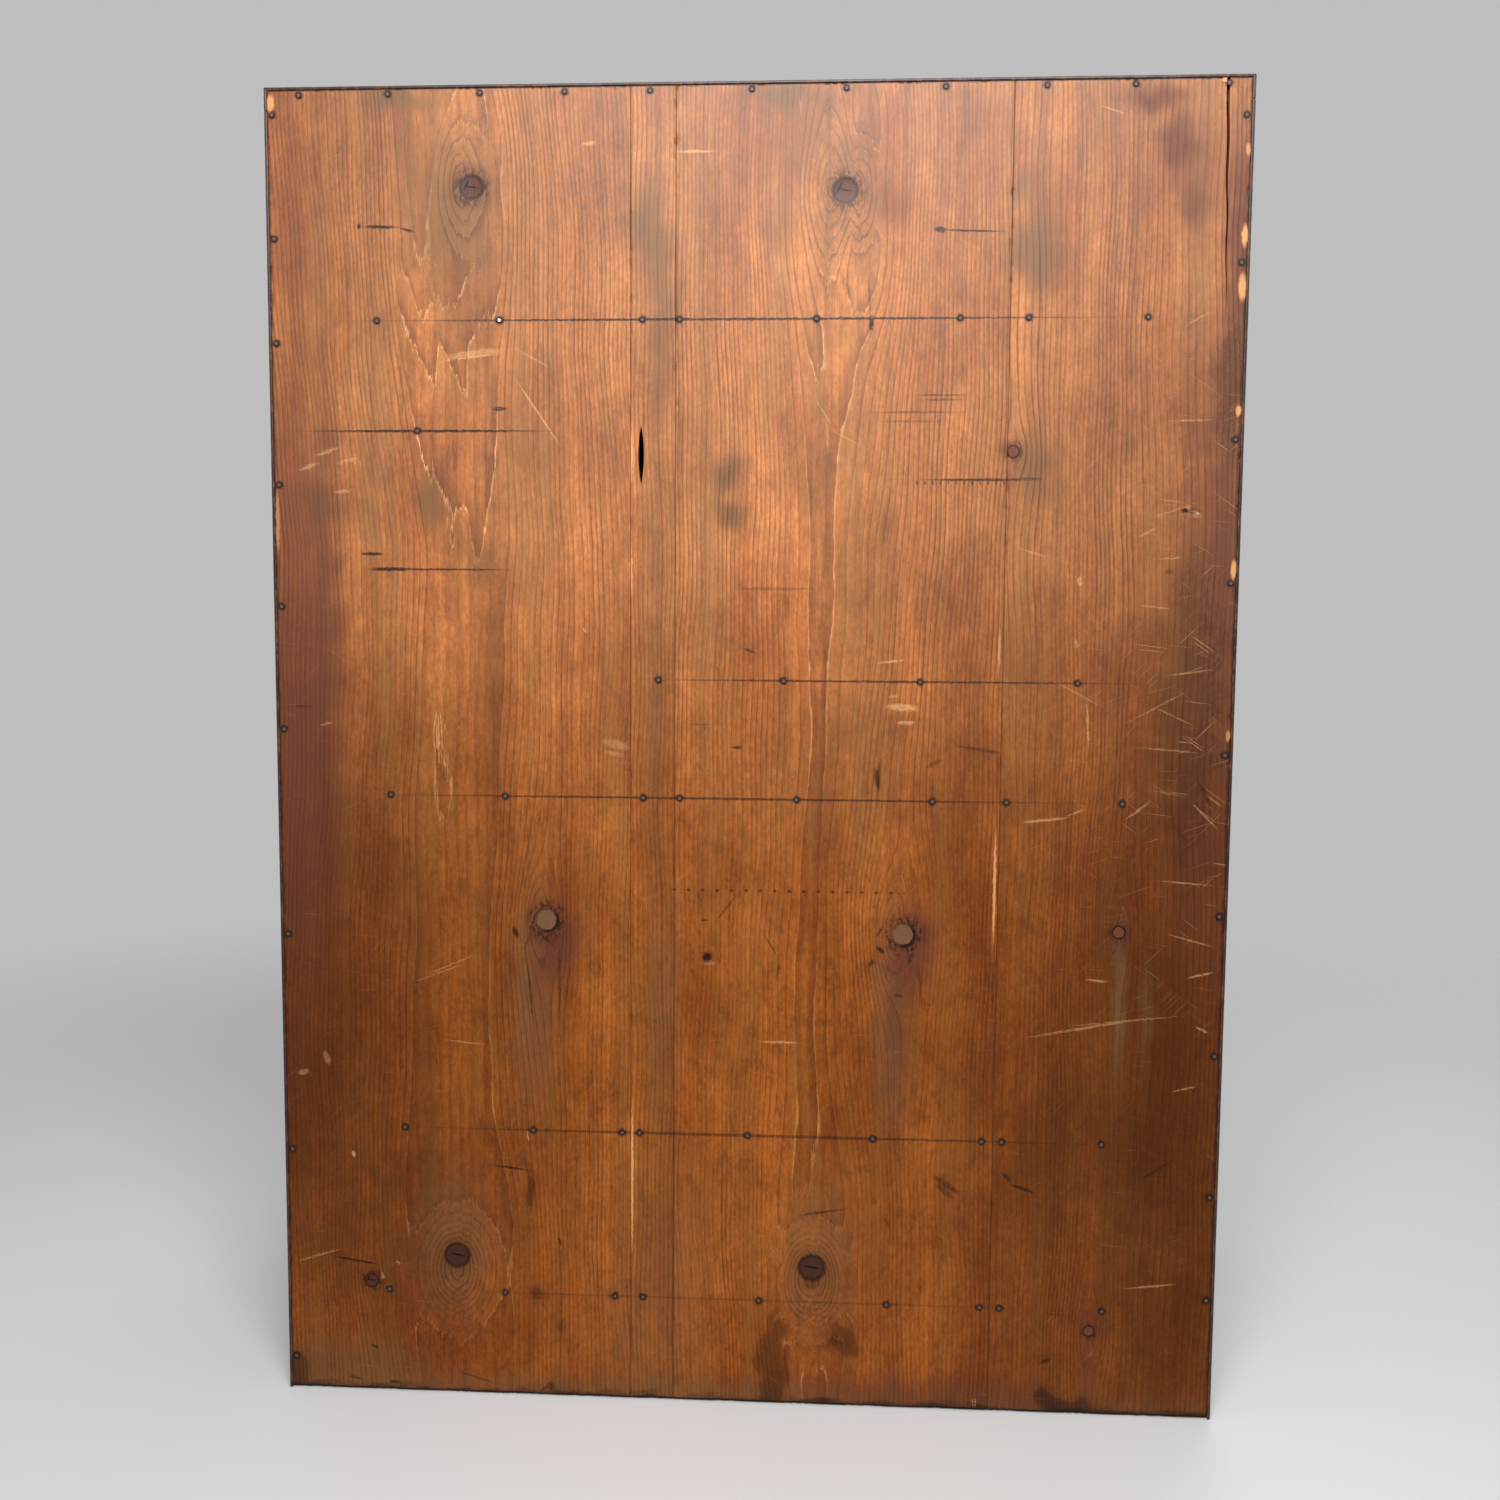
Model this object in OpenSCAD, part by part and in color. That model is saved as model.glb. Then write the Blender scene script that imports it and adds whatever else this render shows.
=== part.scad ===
// A freestanding wooden storage cabinet of the tea-cabinet kind. The back is a
// row of softwood boards nailed over the rear edges of a dark case. The front
// has six sliding doors, four drawers and one small hinged door.
// Origin: on the floor, at the centre of the footprint. +Z is up, the front
// faces -Y and the boarded back faces +Y. Left and right are seen from the front.

/* [Case] */
// Overall width of the case
case_w = 758; // [740:1:780]
// Overall height of the case
case_h = 1051; // [1045:1:1060]
// Depth of the case, with the back boards let in flush
case_d = 363.6; // [350:0.2:400]
// Thickness of each side panel
side_t = 18; // [16:0.5:20]
// Thickness of the top board
top_t = 18; // [16:0.5:20]
// Thickness of the full-width shelves
shelf_t = 18; // [16:0.5:20]
// Thickness of the small shelves beside the partition
small_shelf_t = 12; // [10:0.5:14]
// Thickness of the upright partition
partition_t = 16; // [14:0.5:18]
// Depth of the housings that hold the shelf ends
housing = 5; // [3:0.5:6]

/* [Levels] */
// Centre height of the upper shelf
upper_z = 873; // [868:1:878]
// Centre height of the shelf between the two small drawers
small_upper_z = 788; // [780:1:792]
// Centre height of the shelf over the hinged cupboard
small_lower_z = 680; // [674:1:690]
// Centre height of the shelf over the wide drawer
door_shelf_z = 594; // [588:1:600]
// Centre height of the middle shelf
middle_z = 500; // [495:1:505]
// Centre height of the lower shelf
lower_z = 226; // [220:1:232]
// Centre height of the bottom board
bottom_z = 88; // [84:1:92]
// Centre of the partition, right of the middle of the case
partition_x = 123; // [110:1:130]

/* [Back] */
// Thickness of the back boards
back_t = 7; // [5:0.5:8]
// Lip of the case left outside the rebate that takes the back boards
back_lip = 2.5; // [2:0.5:4]
// Gap around the back boards and between neighbours
board_gap = 0.4; // [0.2:0.1:1]
// Height of the back boards' lower ends above the floor
back_foot = 3; // [1:0.5:6]
// Joint between the first wide board and the filler strip
joint_1_x = 92; // [88:1:95]
// Joint between the filler strip and the centre board
joint_2_x = 57; // [54:1:60]
// Joint between the centre board and the last board
joint_3_x = -200; // [-201:1:-194]

/* [Nails] */
// Diameter of a nail head
nail_head_d = 4.5; // [4:0.1:5]
// Thickness of a nail head
nail_head_t = 1; // [0.8:0.1:1.2]
// Height of a nail head above the boards
nail_proud = 0.4; // [0.2:0.1:0.6]
// Diameter of a nail shank
nail_d = 2; // [1.6:0.1:2.2]
// Length of a nail
nail_l = 32; // [26:1:36]
// Distance of the edge nails from the case outline
nail_edge = 6.5; // [5:0.5:8]

/* [Sliding doors] */
// Thickness of a sliding door
door_t = 14; // [12:0.5:15]
// Width of the door stiles
stile_w = 34; // [30:1:38]
// Width of the door rails
rail_w = 26; // [22:1:30]
// Overlap of two closed doors
door_overlap = 30; // [20:1:34]
// Distance from the front of the case to the first track
track_in = 6; // [5:0.5:8]
// Depth of the upper grooves
upper_groove = 7; // [6:0.5:8]
// Depth of the lower grooves
lower_groove = 3; // [2.5:0.5:4]
// Thickness of a door panel
panel_t = 5; // [4:0.5:6]
// Width of a lattice bar
bar_w = 6; // [5:0.5:8]

/* [Drawers] */
// Thickness of a drawer front
front_t = 18; // [16:0.5:20]
// Thickness of drawer sides and backs
drawer_side_t = 9; // [7:0.5:10]
// Thickness of drawer bottoms
drawer_bottom_t = 5; // [4:0.5:6]
// Length of a drawer from front to back
drawer_l = 330; // [300:1:335]
// Gap around drawer fronts and the hinged door
front_gap = 1; // [0.8:0.1:1.5]

/* [Ironwork] */
// Distance between the two posts of a drop pull
pull_span = 44; // [40:1:60]
// Drop of a pull below its pivot
pull_drop = 20; // [18:1:24]
// Radius of the rod of a pull
pull_rod_r = 1.6; // [1.5:0.1:2]
// Distance that the knob stands in front of the case
knob_out = 20; // [18:0.5:24]

/* [Hidden] */
$fn = 64;

wood_dark = [0.13, 0.07, 0.04];
wood_door = [0.45, 0.24, 0.12];
wood_back = [0.62, 0.36, 0.19];
wood_inside = [0.66, 0.50, 0.33];
iron = [0.10, 0.10, 0.10];

// A small gap that keeps moving faces from touching
slip = 0.2;
// A hairline at the joints of door frames and drawer boxes
seam = 0.1;

// Depth positions: the object is centred on its full depth, knob to nail heads
full_d = knob_out + case_d + nail_proud;
front_y = -full_d / 2 + knob_out;
back_y = front_y + case_d;
rear_y = back_y - back_t;

// Inner faces of the case and of the partition
in_x = case_w / 2 - side_t;
in_w = 2 * in_x;
part_l = partition_x - partition_t / 2;
part_r = partition_x + partition_t / 2;

// Clear heights between shelves
top_low = upper_z + shelf_t / 2;
top_high = case_h - top_t;
mid_low = door_shelf_z + small_shelf_t / 2;
mid_high = upper_z - shelf_t / 2;
wide_low = middle_z + shelf_t / 2;
wide_high = door_shelf_z - small_shelf_t / 2;
small_1_low = small_upper_z + small_shelf_t / 2;
small_2_low = small_lower_z + small_shelf_t / 2;
small_2_high = small_upper_z - small_shelf_t / 2;
cupboard_high = small_lower_z - small_shelf_t / 2;
low_low = lower_z + shelf_t / 2;
low_high = middle_z - shelf_t / 2;
base_low = bottom_z + shelf_t / 2;
base_high = lower_z - shelf_t / 2;

// Sliding-door tracks
track_gap = 4;
groove_play = 0.5;
front_track_y = front_y + track_in;
rear_track_y = front_track_y + door_t + track_gap;
lift_play = 3;
door_play = 0.5;
rebate = 5;
bar_in = 2;
full_door_w = (in_w + door_overlap) / 2;
mid_door_w = (part_l + in_x + door_overlap) / 2;

// Finger pulls of the sliding doors
cup_r = 10;
cup_rim_r = 13;
cup_rim_t = 0.8;
cup_depth = 8;
cup_wall = 0.8;
cup_play = 0.1;

// Drop pulls
post_r = 2.4;
plate_r = 9;
plate_t = 1.2;
eye_r = 4;
eye_l = 6;
pivot_out = 9;
pivot_play = 0.05;
arm_gap = 0.6;
bail_reach = pull_span / 2 + eye_l / 2 + arm_gap + pull_rod_r;
pivot_l = pull_rod_r + arm_gap + eye_l + 2;
bail_bend = 8;

// Hinges of the small cupboard door
leaf_t = 1.2;
leaf_gap = 0.2;
leaf_w = 14;
knuckle_r = 3;
knuckle_l = 8;
pin_r = 1.5;
hinge_h = 3 * knuckle_l + 2 * slip;
pin_x = in_x - leaf_t - leaf_gap / 2;
pin_y = front_y - knuckle_r - 0.3;
hinge_zs = [wide_low + 24, cupboard_high - 24 - hinge_h];
cupboard_t = 16;

// Nail places: x along each shelf row and the top edge, z up each side edge
upper_row = [292, 195, 83, 54, -52, -162, -214, -304];
small_row = [261];
door_row = [70, -29, -136, -258];
middle_row = [286, 193, 82, 53, -40, -147, -205, -295];
lower_row = [278, 172, 99, 85, -3, -104, -191, -207, -286];
bottom_row = [293, 196, 105, 82, -13, -117, -192, -208, -290];
top_row = [351, 281, 209, 143, 77, -1, -73, -148, -224, -290, -359];
right_edge_zs = [1030, 936, 856, 746, 650, 552, 385, 205, 28];
left_edge_zs = [1021, 913, 781, 672, 539, 412, 300, 185, 100];

// A board between two opposite corners
module board(x, y, z) {
    translate([x[0], y[0], z[0]])
        cube([x[1] - x[0], y[1] - y[0], z[1] - z[0]]);
}

// Two parallel door grooves between x limits, from z upwards
module tracks(x, z, depth) {
    for (y = [front_track_y, rear_track_y])
        board(x, [y - groove_play, y + door_t + groove_play], [z, z + depth]);
}

// One side panel with its shelf housings and back rebate; side is -1 for left, 1 for right
module side_panel(side, thin_levels) {
    inner = side * in_x;
    outer = side * case_w / 2;
    lip_x = side * (case_w / 2 - back_lip);
    deep = inner + side * housing;
    difference() {
        board([min(inner, outer), max(inner, outer)], [front_y, back_y], [0, top_high]);
        board([min(inner - side, lip_x), max(inner - side, lip_x)], [rear_y, back_y + 1],
              [-1, top_high + 1]);
        for (z = [upper_z, middle_z, lower_z, bottom_z])
            board([min(inner, deep), max(inner, deep)], [front_y - 1, rear_y + 1],
                  [z - shelf_t / 2, z + shelf_t / 2]);
        for (z = thin_levels)
            board([min(inner, deep), max(inner, deep)], [front_y - 1, rear_y + 1],
                  [z - small_shelf_t / 2, z + small_shelf_t / 2]);
    }
}

module left_side() {
    color(wood_dark) side_panel(-1, [door_shelf_z]);
}

module right_side() {
    color(wood_dark) side_panel(1, [small_upper_z, small_lower_z]);
}

module top_board() {
    color(wood_dark) difference() {
        board([-case_w / 2, case_w / 2], [front_y, back_y], [top_high, case_h]);
        board([back_lip - case_w / 2, case_w / 2 - back_lip], [rear_y, back_y + 1],
              [top_high - 1, case_h - back_lip]);
        tracks([-in_x, in_x], top_high - 1, upper_groove + 1);
    }
}

// A full-width shelf board, housed in both sides
module full_shelf(z) {
    board([-in_x - housing, in_x + housing], [front_y, rear_y],
          [z - shelf_t / 2, z + shelf_t / 2]);
}

module upper_shelf() {
    color(wood_dark) difference() {
        full_shelf(upper_z);
        tracks([-in_x, in_x], top_low - lower_groove, lower_groove + 1);
        tracks([-in_x, part_l], mid_high - 1, upper_groove + 1);
    }
}

module middle_shelf() {
    color(wood_dark) difference() {
        full_shelf(middle_z);
        tracks([-in_x, in_x], low_high - 1, upper_groove + 1);
    }
}

module lower_shelf() {
    color(wood_dark) difference() {
        full_shelf(lower_z);
        tracks([-in_x, in_x], low_low - lower_groove, lower_groove + 1);
    }
}

module bottom_board() {
    color(wood_dark) full_shelf(bottom_z);
}

// The partition stands between the middle and upper shelves
module partition() {
    color(wood_dark) difference() {
        board([part_l, part_r], [front_y, rear_y], [wide_low, mid_high]);
        board([part_l - 1, part_l + housing], [front_y - 1, rear_y + 1], [wide_high, mid_low]);
        for (z = [small_upper_z, small_lower_z])
            board([part_r - housing, part_r + 1], [front_y - 1, rear_y + 1],
                  [z - small_shelf_t / 2, z + small_shelf_t / 2]);
    }
}

module door_shelf() {
    color(wood_dark) difference() {
        board([-in_x - housing, part_l + housing], [front_y, rear_y], [wide_high, mid_low]);
        tracks([-in_x, part_l], mid_low - lower_groove, lower_groove + 1);
    }
}

module small_shelf(z) {
    board([part_r - housing, in_x + housing], [front_y, rear_y],
          [z - small_shelf_t / 2, z + small_shelf_t / 2]);
}

module small_shelf_upper() {
    color(wood_dark) small_shelf(small_upper_z);
}

module small_shelf_lower() {
    color(wood_dark) small_shelf(small_lower_z);
}

// The apron closes the base, with a shallow arch along its lower edge
module front_apron() {
    apron_in = 8;
    apron_t = 16;
    arch_half = 290;
    arch_rise = 26;
    arch_r = (arch_half * arch_half + arch_rise * arch_rise) / (2 * arch_rise);
    color(wood_dark) difference() {
        board([-in_x, in_x], [front_y + apron_in, front_y + apron_in + apron_t],
              [0, bottom_z - shelf_t / 2]);
        translate([0, front_y, arch_rise - arch_r])
            rotate([-90, 0, 0])
                cylinder(r = arch_r, h = 3 * apron_t, $fn = 360);
    }
}

// A back board between two x limits, let into the rebate of the case
module back_plank(x0, x1) {
    board([x0 + board_gap / 2, x1 - board_gap / 2], [rear_y, back_y],
          [back_foot, case_h - back_lip - board_gap / 2]);
}

module back_board_1() {
    color(wood_back) back_plank(joint_1_x, case_w / 2 - back_lip);
}

module back_strip() {
    color(wood_back) back_plank(joint_2_x, joint_1_x);
}

module back_board_2() {
    color(wood_back) back_plank(joint_3_x, joint_2_x);
}

module back_board_3() {
    color(wood_back) back_plank(back_lip - case_w / 2, joint_3_x);
}

// A nail driven forward through a back board
module nail(x, z) {
    translate([x, back_y + nail_proud, z]) rotate([90, 0, 0]) {
        cylinder(d = nail_head_d, h = nail_head_t, $fn = 24);
        cylinder(d = nail_d, h = nail_l, $fn = 24);
    }
}

module edge_nails() {
    color(iron) {
        for (x = top_row) nail(x, case_h - nail_edge);
        for (z = right_edge_zs) nail(case_w / 2 - nail_edge, z);
        for (z = left_edge_zs) nail(nail_edge - case_w / 2, z);
    }
}

module shelf_nails() {
    color(iron) {
        for (x = upper_row) nail(x, upper_z);
        for (x = small_row) nail(x, small_upper_z);
        for (x = door_row) nail(x, door_shelf_z);
        for (x = middle_row) nail(x, middle_z);
        for (x = lower_row) nail(x, lower_z);
        for (x = bottom_row) nail(x, bottom_z);
    }
}

// Height of a sliding door, which stands in the lower groove and reaches into the upper
function door_h(low, high) = high - low + lower_groove + upper_groove - lift_play - slip;

function door_z(low) = low - lower_groove + slip;

// The recess for a finger pull, from the door's front face
module pull_seat(x, y, z) {
    translate([x, y + cup_depth + cup_play, z]) rotate([90, 0, 0])
        cylinder(r = cup_r + cup_play, h = cup_depth + cup_play + 1);
}

// Frame of a sliding door: two stiles, two rails and the lattice bars between them
module door_frame(x, y, z, w, h, pull_x, bars) {
    stiles = [x, x + w - stile_w];
    y_panel = y + door_t - panel_t;
    open_w = w - 2 * stile_w;
    difference() {
        for (sx = stiles)
            board([sx, sx + stile_w], [y, y + door_t], [z, z + h]);
        board([x + stile_w - rebate, x + w - stile_w + rebate], [y_panel, y + door_t + 1],
              [z + rail_w - rebate, z + h - rail_w + rebate]);
        pull_seat(pull_x, y, z + h / 2);
    }
    for (rz = [z, z + h - rail_w])
        difference() {
            board([x + stile_w + seam, x + w - stile_w - seam], [y, y + door_t], [rz, rz + rail_w]);
            board([x, x + w], [y_panel, y + door_t + 1],
                  [z + rail_w - rebate, z + h - rail_w + rebate]);
        }
    for (i = [1:1:bars]) {
        bar_x = x + stile_w + i * open_w / (bars + 1) - bar_w / 2;
        board([bar_x, bar_x + bar_w], [y + bar_in, y_panel],
              [z + rail_w + seam, z + h - rail_w - seam]);
    }
}

module door_panel(x, y, z, w, h) {
    board([x + stile_w - rebate, x + w - stile_w + rebate], [y + door_t - panel_t, y + door_t],
          [z + rail_w - rebate, z + h - rail_w + rebate]);
}

// A shallow iron cup with a rim, let into a stile
module finger_pull(x, y, z) {
    translate([x, y, z]) rotate([90, 0, 0])
        rotate_extrude()
            polygon([
                [0, -cup_depth], [cup_r, -cup_depth], [cup_r, 0], [cup_rim_r, 0],
                [cup_rim_r, cup_rim_t], [cup_r - cup_wall, cup_rim_t],
                [cup_r - cup_wall, cup_wall - cup_depth], [0, cup_wall - cup_depth]
            ]);
}

// Left and right doors of an opening: place = [x, y, z, w, h, pull_x]
function left_door(x0, low, high, w) =
    [x0 + door_play, front_track_y, door_z(low), w, door_h(low, high), x0 + door_play + stile_w / 2];

function right_door(x1, low, high, w) =
    [x1 - door_play - w, rear_track_y, door_z(low), w, door_h(low, high), x1 - door_play - stile_w / 2];

top_left = left_door(-in_x, top_low, top_high, full_door_w);
top_right = right_door(in_x, top_low, top_high, full_door_w);
mid_left = left_door(-in_x, mid_low, mid_high, mid_door_w);
mid_right = right_door(part_l, mid_low, mid_high, mid_door_w);
low_left = left_door(-in_x, low_low, low_high, full_door_w);
low_right = right_door(in_x, low_low, low_high, full_door_w);
lattice_bars = 11;

module place_frame(d, bars) {
    color(wood_dark) door_frame(d[0], d[1], d[2], d[3], d[4], d[5], bars);
}

module place_panel(d) {
    color(wood_door) door_panel(d[0], d[1], d[2], d[3], d[4]);
}

module place_pull(d) {
    color(iron) finger_pull(d[5], d[1], d[2] + d[4] / 2);
}

module top_door_left_frame() { place_frame(top_left, lattice_bars); }
module top_door_left_panel() { place_panel(top_left); }
module top_door_left_pull() { place_pull(top_left); }
module top_door_right_frame() { place_frame(top_right, lattice_bars); }
module top_door_right_panel() { place_panel(top_right); }
module top_door_right_pull() { place_pull(top_right); }
module middle_door_left_frame() { place_frame(mid_left, 0); }
module middle_door_left_panel() { place_panel(mid_left); }
module middle_door_left_pull() { place_pull(mid_left); }
module middle_door_right_frame() { place_frame(mid_right, 0); }
module middle_door_right_panel() { place_panel(mid_right); }
module middle_door_right_pull() { place_pull(mid_right); }
module lower_door_left_frame() { place_frame(low_left, lattice_bars); }
module lower_door_left_panel() { place_panel(low_left); }
module lower_door_left_pull() { place_pull(low_left); }
module lower_door_right_frame() { place_frame(low_right, lattice_bars); }
module lower_door_right_panel() { place_panel(low_right); }
module lower_door_right_pull() { place_pull(low_right); }

// A drawer place: [x0, x1, z0, z1] of its opening
wide_drawer = [-in_x, part_l, wide_low, wide_high];
small_drawer_1 = [part_r, in_x, small_1_low, mid_high];
small_drawer_2 = [part_r, in_x, small_2_low, small_2_high];
base_drawer = [-in_x, in_x, base_low, base_high];
base_pull_x = in_x / 2;

function drawer_mid_x(d) = (d[0] + d[1]) / 2;

function drawer_mid_z(d) = (d[2] + d[3]) / 2;

function pivot_z(d) = drawer_mid_z(d) + pull_drop / 2;

module drawer_front(d) {
    color(wood_door)
        board([d[0] + front_gap, d[1] - front_gap], [front_y, front_y + front_t],
              [d[2] + slip, d[3] - front_gap]);
}

// Two sides, a back and a bottom, each a solid of its own
module drawer_box(d) {
    x0 = d[0] + front_gap;
    x1 = d[1] - front_gap;
    y0 = front_y + front_t;
    y1 = front_y + drawer_l;
    z0 = d[2] + slip;
    z1 = d[3] - 3 * front_gap;
    t = drawer_side_t;
    color(wood_inside) {
        board([x0, x0 + t], [y0, y1], [z0, z1]);
        board([x1 - t, x1], [y0, y1], [z0, z1]);
        board([x0 + t + seam, x1 - t - seam], [y1 - t, y1], [z0, z1]);
        board([x0 + t + seam, x1 - t - seam], [y0, y1 - t - seam], [z0, z0 + drawer_bottom_t]);
    }
}

// One post: a round plate, a stud and an eye with a cross bore
module pull_post(x, z) {
    difference() {
        union() {
            translate([x, front_y, z]) rotate([90, 0, 0]) {
                cylinder(r = plate_r, h = plate_t);
                cylinder(r = post_r, h = pivot_out);
            }
            translate([x - eye_l / 2, front_y - pivot_out, z]) rotate([0, 90, 0])
                cylinder(r = eye_r, h = eye_l);
        }
        translate([x - eye_l, front_y - pivot_out, z]) rotate([0, 90, 0])
            cylinder(r = pull_rod_r + pivot_play, h = 2 * eye_l);
    }
}

module pull_posts(x, z) {
    color(iron)
        for (side = [-1, 1]) pull_post(x + side * pull_span / 2, z);
}

// The hanging bail: two pivot ends, two arms, and a lower bar with rounded corners
module bail(x, z) {
    r = pull_rod_r;
    color(iron) translate([x, front_y - pivot_out, z]) {
        for (side = [-1, 1]) {
            translate([side * (bail_reach - pivot_l / 2), 0, 0]) rotate([0, 90, 0])
                cylinder(r = r, h = pivot_l, center = true);
            translate([side * bail_reach, 0, 0]) sphere(r = r);
            translate([side * bail_reach, 0, bail_bend - pull_drop])
                cylinder(r = r, h = pull_drop - bail_bend);
            translate([side * (bail_reach - bail_bend), 0, bail_bend - pull_drop])
                mirror([side < 0 ? 1 : 0, 0, 0])
                    rotate([90, 90, 0])
                        rotate_extrude(angle = 90)
                            translate([bail_bend, 0]) circle(r = r);
        }
        translate([bail_bend - bail_reach, 0, -pull_drop]) rotate([0, 90, 0])
            cylinder(r = r, h = 2 * (bail_reach - bail_bend));
    }
}

module wide_drawer_front() { drawer_front(wide_drawer); }
module wide_drawer_box() { drawer_box(wide_drawer); }
module wide_drawer_posts() { pull_posts(drawer_mid_x(wide_drawer), pivot_z(wide_drawer)); }
module wide_drawer_bail() { bail(drawer_mid_x(wide_drawer), pivot_z(wide_drawer)); }
module small_drawer_1_front() { drawer_front(small_drawer_1); }
module small_drawer_1_box() { drawer_box(small_drawer_1); }
module small_drawer_1_posts() { pull_posts(drawer_mid_x(small_drawer_1), pivot_z(small_drawer_1)); }
module small_drawer_1_bail() { bail(drawer_mid_x(small_drawer_1), pivot_z(small_drawer_1)); }
module small_drawer_2_front() { drawer_front(small_drawer_2); }
module small_drawer_2_box() { drawer_box(small_drawer_2); }
module small_drawer_2_posts() { pull_posts(drawer_mid_x(small_drawer_2), pivot_z(small_drawer_2)); }
module small_drawer_2_bail() { bail(drawer_mid_x(small_drawer_2), pivot_z(small_drawer_2)); }
module base_drawer_front() { drawer_front(base_drawer); }
module base_drawer_box() { drawer_box(base_drawer); }
module base_drawer_posts() {
    for (side = [-1, 1]) pull_posts(side * base_pull_x, pivot_z(base_drawer));
}
module base_drawer_bail_left() { bail(-base_pull_x, pivot_z(base_drawer)); }
module base_drawer_bail_right() { bail(base_pull_x, pivot_z(base_drawer)); }

// The small door hangs on the right-hand side panel
module cupboard_door() {
    color(wood_door)
        board([part_r + front_gap, pin_x - leaf_gap / 2 - leaf_t],
              [front_y, front_y + cupboard_t],
              [wide_low + front_gap, cupboard_high - front_gap]);
}

module cupboard_knob() {
    knob_r = 8;
    neck_r = 4;
    color(iron)
        translate([part_r + 24, front_y, (wide_low + cupboard_high) / 2]) rotate([90, 0, 0])
            rotate_extrude()
                polygon([
                    [0, 0], [neck_r + 3, 0], [neck_r + 3, 1.5], [neck_r, 3], [neck_r, 9],
                    [knob_r - 1, 12], [knob_r, 14.5], [knob_r - 1, 17.5], [knob_r - 4, knob_out - 0.5],
                    [0, knob_out]
                ]);
}

// Leaves of one kind; side is 1 on the case and -1 on the door
module hinge_leaf(z, side, knuckles) {
    x_near = pin_x + side * leaf_gap / 2;
    x_far = pin_x + side * (leaf_gap / 2 + leaf_t);
    x = [min(x_near, x_far), max(x_near, x_far)];
    clear_y = pin_y + knuckle_r + 0.5;
    difference() {
        union() {
            board(x, [clear_y, clear_y + leaf_w], [z, z + hinge_h]);
            for (k = knuckles) {
                kz = z + k * (knuckle_l + slip);
                translate([pin_x, pin_y, kz]) cylinder(r = knuckle_r, h = knuckle_l);
                board(x, [pin_y, clear_y], [kz, kz + knuckle_l]);
            }
        }
        translate([pin_x, pin_y, z - 1])
            cylinder(r = pin_r + pivot_play, h = hinge_h + 2);
    }
}

module hinge_case_leaves() {
    color(iron)
        for (z = hinge_zs) hinge_leaf(z, 1, [0, 2]);
}

module hinge_door_leaves() {
    color(iron)
        for (z = hinge_zs) hinge_leaf(z, -1, [1]);
}

module hinge_pins() {
    cap_r = 2.4;
    cap_h = 2;
    color(iron)
        for (z = hinge_zs)
            translate([pin_x, pin_y, z]) {
                translate([0, 0, -pivot_play]) cylinder(r = pin_r, h = hinge_h + 2 * pivot_play);
                translate([0, 0, hinge_h + pivot_play]) cylinder(r = cap_r, h = cap_h);
                translate([0, 0, -cap_h - pivot_play]) cylinder(r = cap_r, h = cap_h);
            }
}

left_side();
right_side();
top_board();
upper_shelf();
middle_shelf();
lower_shelf();
bottom_board();
partition();
door_shelf();
small_shelf_upper();
small_shelf_lower();
front_apron();
back_board_1();
back_strip();
back_board_2();
back_board_3();
edge_nails();
shelf_nails();
top_door_left_frame();
top_door_left_panel();
top_door_left_pull();
top_door_right_frame();
top_door_right_panel();
top_door_right_pull();
middle_door_left_frame();
middle_door_left_panel();
middle_door_left_pull();
middle_door_right_frame();
middle_door_right_panel();
middle_door_right_pull();
lower_door_left_frame();
lower_door_left_panel();
lower_door_left_pull();
lower_door_right_frame();
lower_door_right_panel();
lower_door_right_pull();
wide_drawer_front();
wide_drawer_box();
wide_drawer_posts();
wide_drawer_bail();
small_drawer_1_front();
small_drawer_1_box();
small_drawer_1_posts();
small_drawer_1_bail();
small_drawer_2_front();
small_drawer_2_box();
small_drawer_2_posts();
small_drawer_2_bail();
base_drawer_front();
base_drawer_box();
base_drawer_posts();
base_drawer_bail_left();
base_drawer_bail_right();
cupboard_door();
cupboard_knob();
hinge_case_leaves();
hinge_door_leaves();
hinge_pins();
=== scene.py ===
import math
import random

import bpy
import numpy as np
from mathutils import Matrix, Vector


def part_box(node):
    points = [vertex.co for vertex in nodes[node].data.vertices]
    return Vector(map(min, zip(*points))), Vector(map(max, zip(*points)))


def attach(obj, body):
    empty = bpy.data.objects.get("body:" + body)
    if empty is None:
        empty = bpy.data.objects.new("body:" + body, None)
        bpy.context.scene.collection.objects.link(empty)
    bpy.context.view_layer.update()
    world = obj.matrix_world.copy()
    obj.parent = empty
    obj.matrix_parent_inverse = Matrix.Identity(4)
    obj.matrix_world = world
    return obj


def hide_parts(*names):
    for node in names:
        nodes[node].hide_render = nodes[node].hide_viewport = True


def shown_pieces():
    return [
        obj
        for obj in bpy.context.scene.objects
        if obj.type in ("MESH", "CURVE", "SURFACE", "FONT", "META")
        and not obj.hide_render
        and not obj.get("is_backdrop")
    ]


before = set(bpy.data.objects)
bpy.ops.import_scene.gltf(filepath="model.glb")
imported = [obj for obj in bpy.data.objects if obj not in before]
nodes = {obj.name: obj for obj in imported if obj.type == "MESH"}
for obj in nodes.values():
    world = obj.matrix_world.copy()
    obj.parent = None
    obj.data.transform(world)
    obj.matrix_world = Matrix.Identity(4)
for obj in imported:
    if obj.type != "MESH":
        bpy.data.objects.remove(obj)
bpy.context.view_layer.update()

MM = 0.001
DEEP = 900.0  # millimetres along y over which a mark doesn't change

# Faces that the looks are placed by, in millimetres.
rear_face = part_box("back_board_1")[1].y / MM
side_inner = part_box("left_side")[0].x / MM
top_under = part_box("top_board")[0].z / MM
front_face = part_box("left_side")[0].y / MM


# ---------------------------------------------------------------- colours


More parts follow.
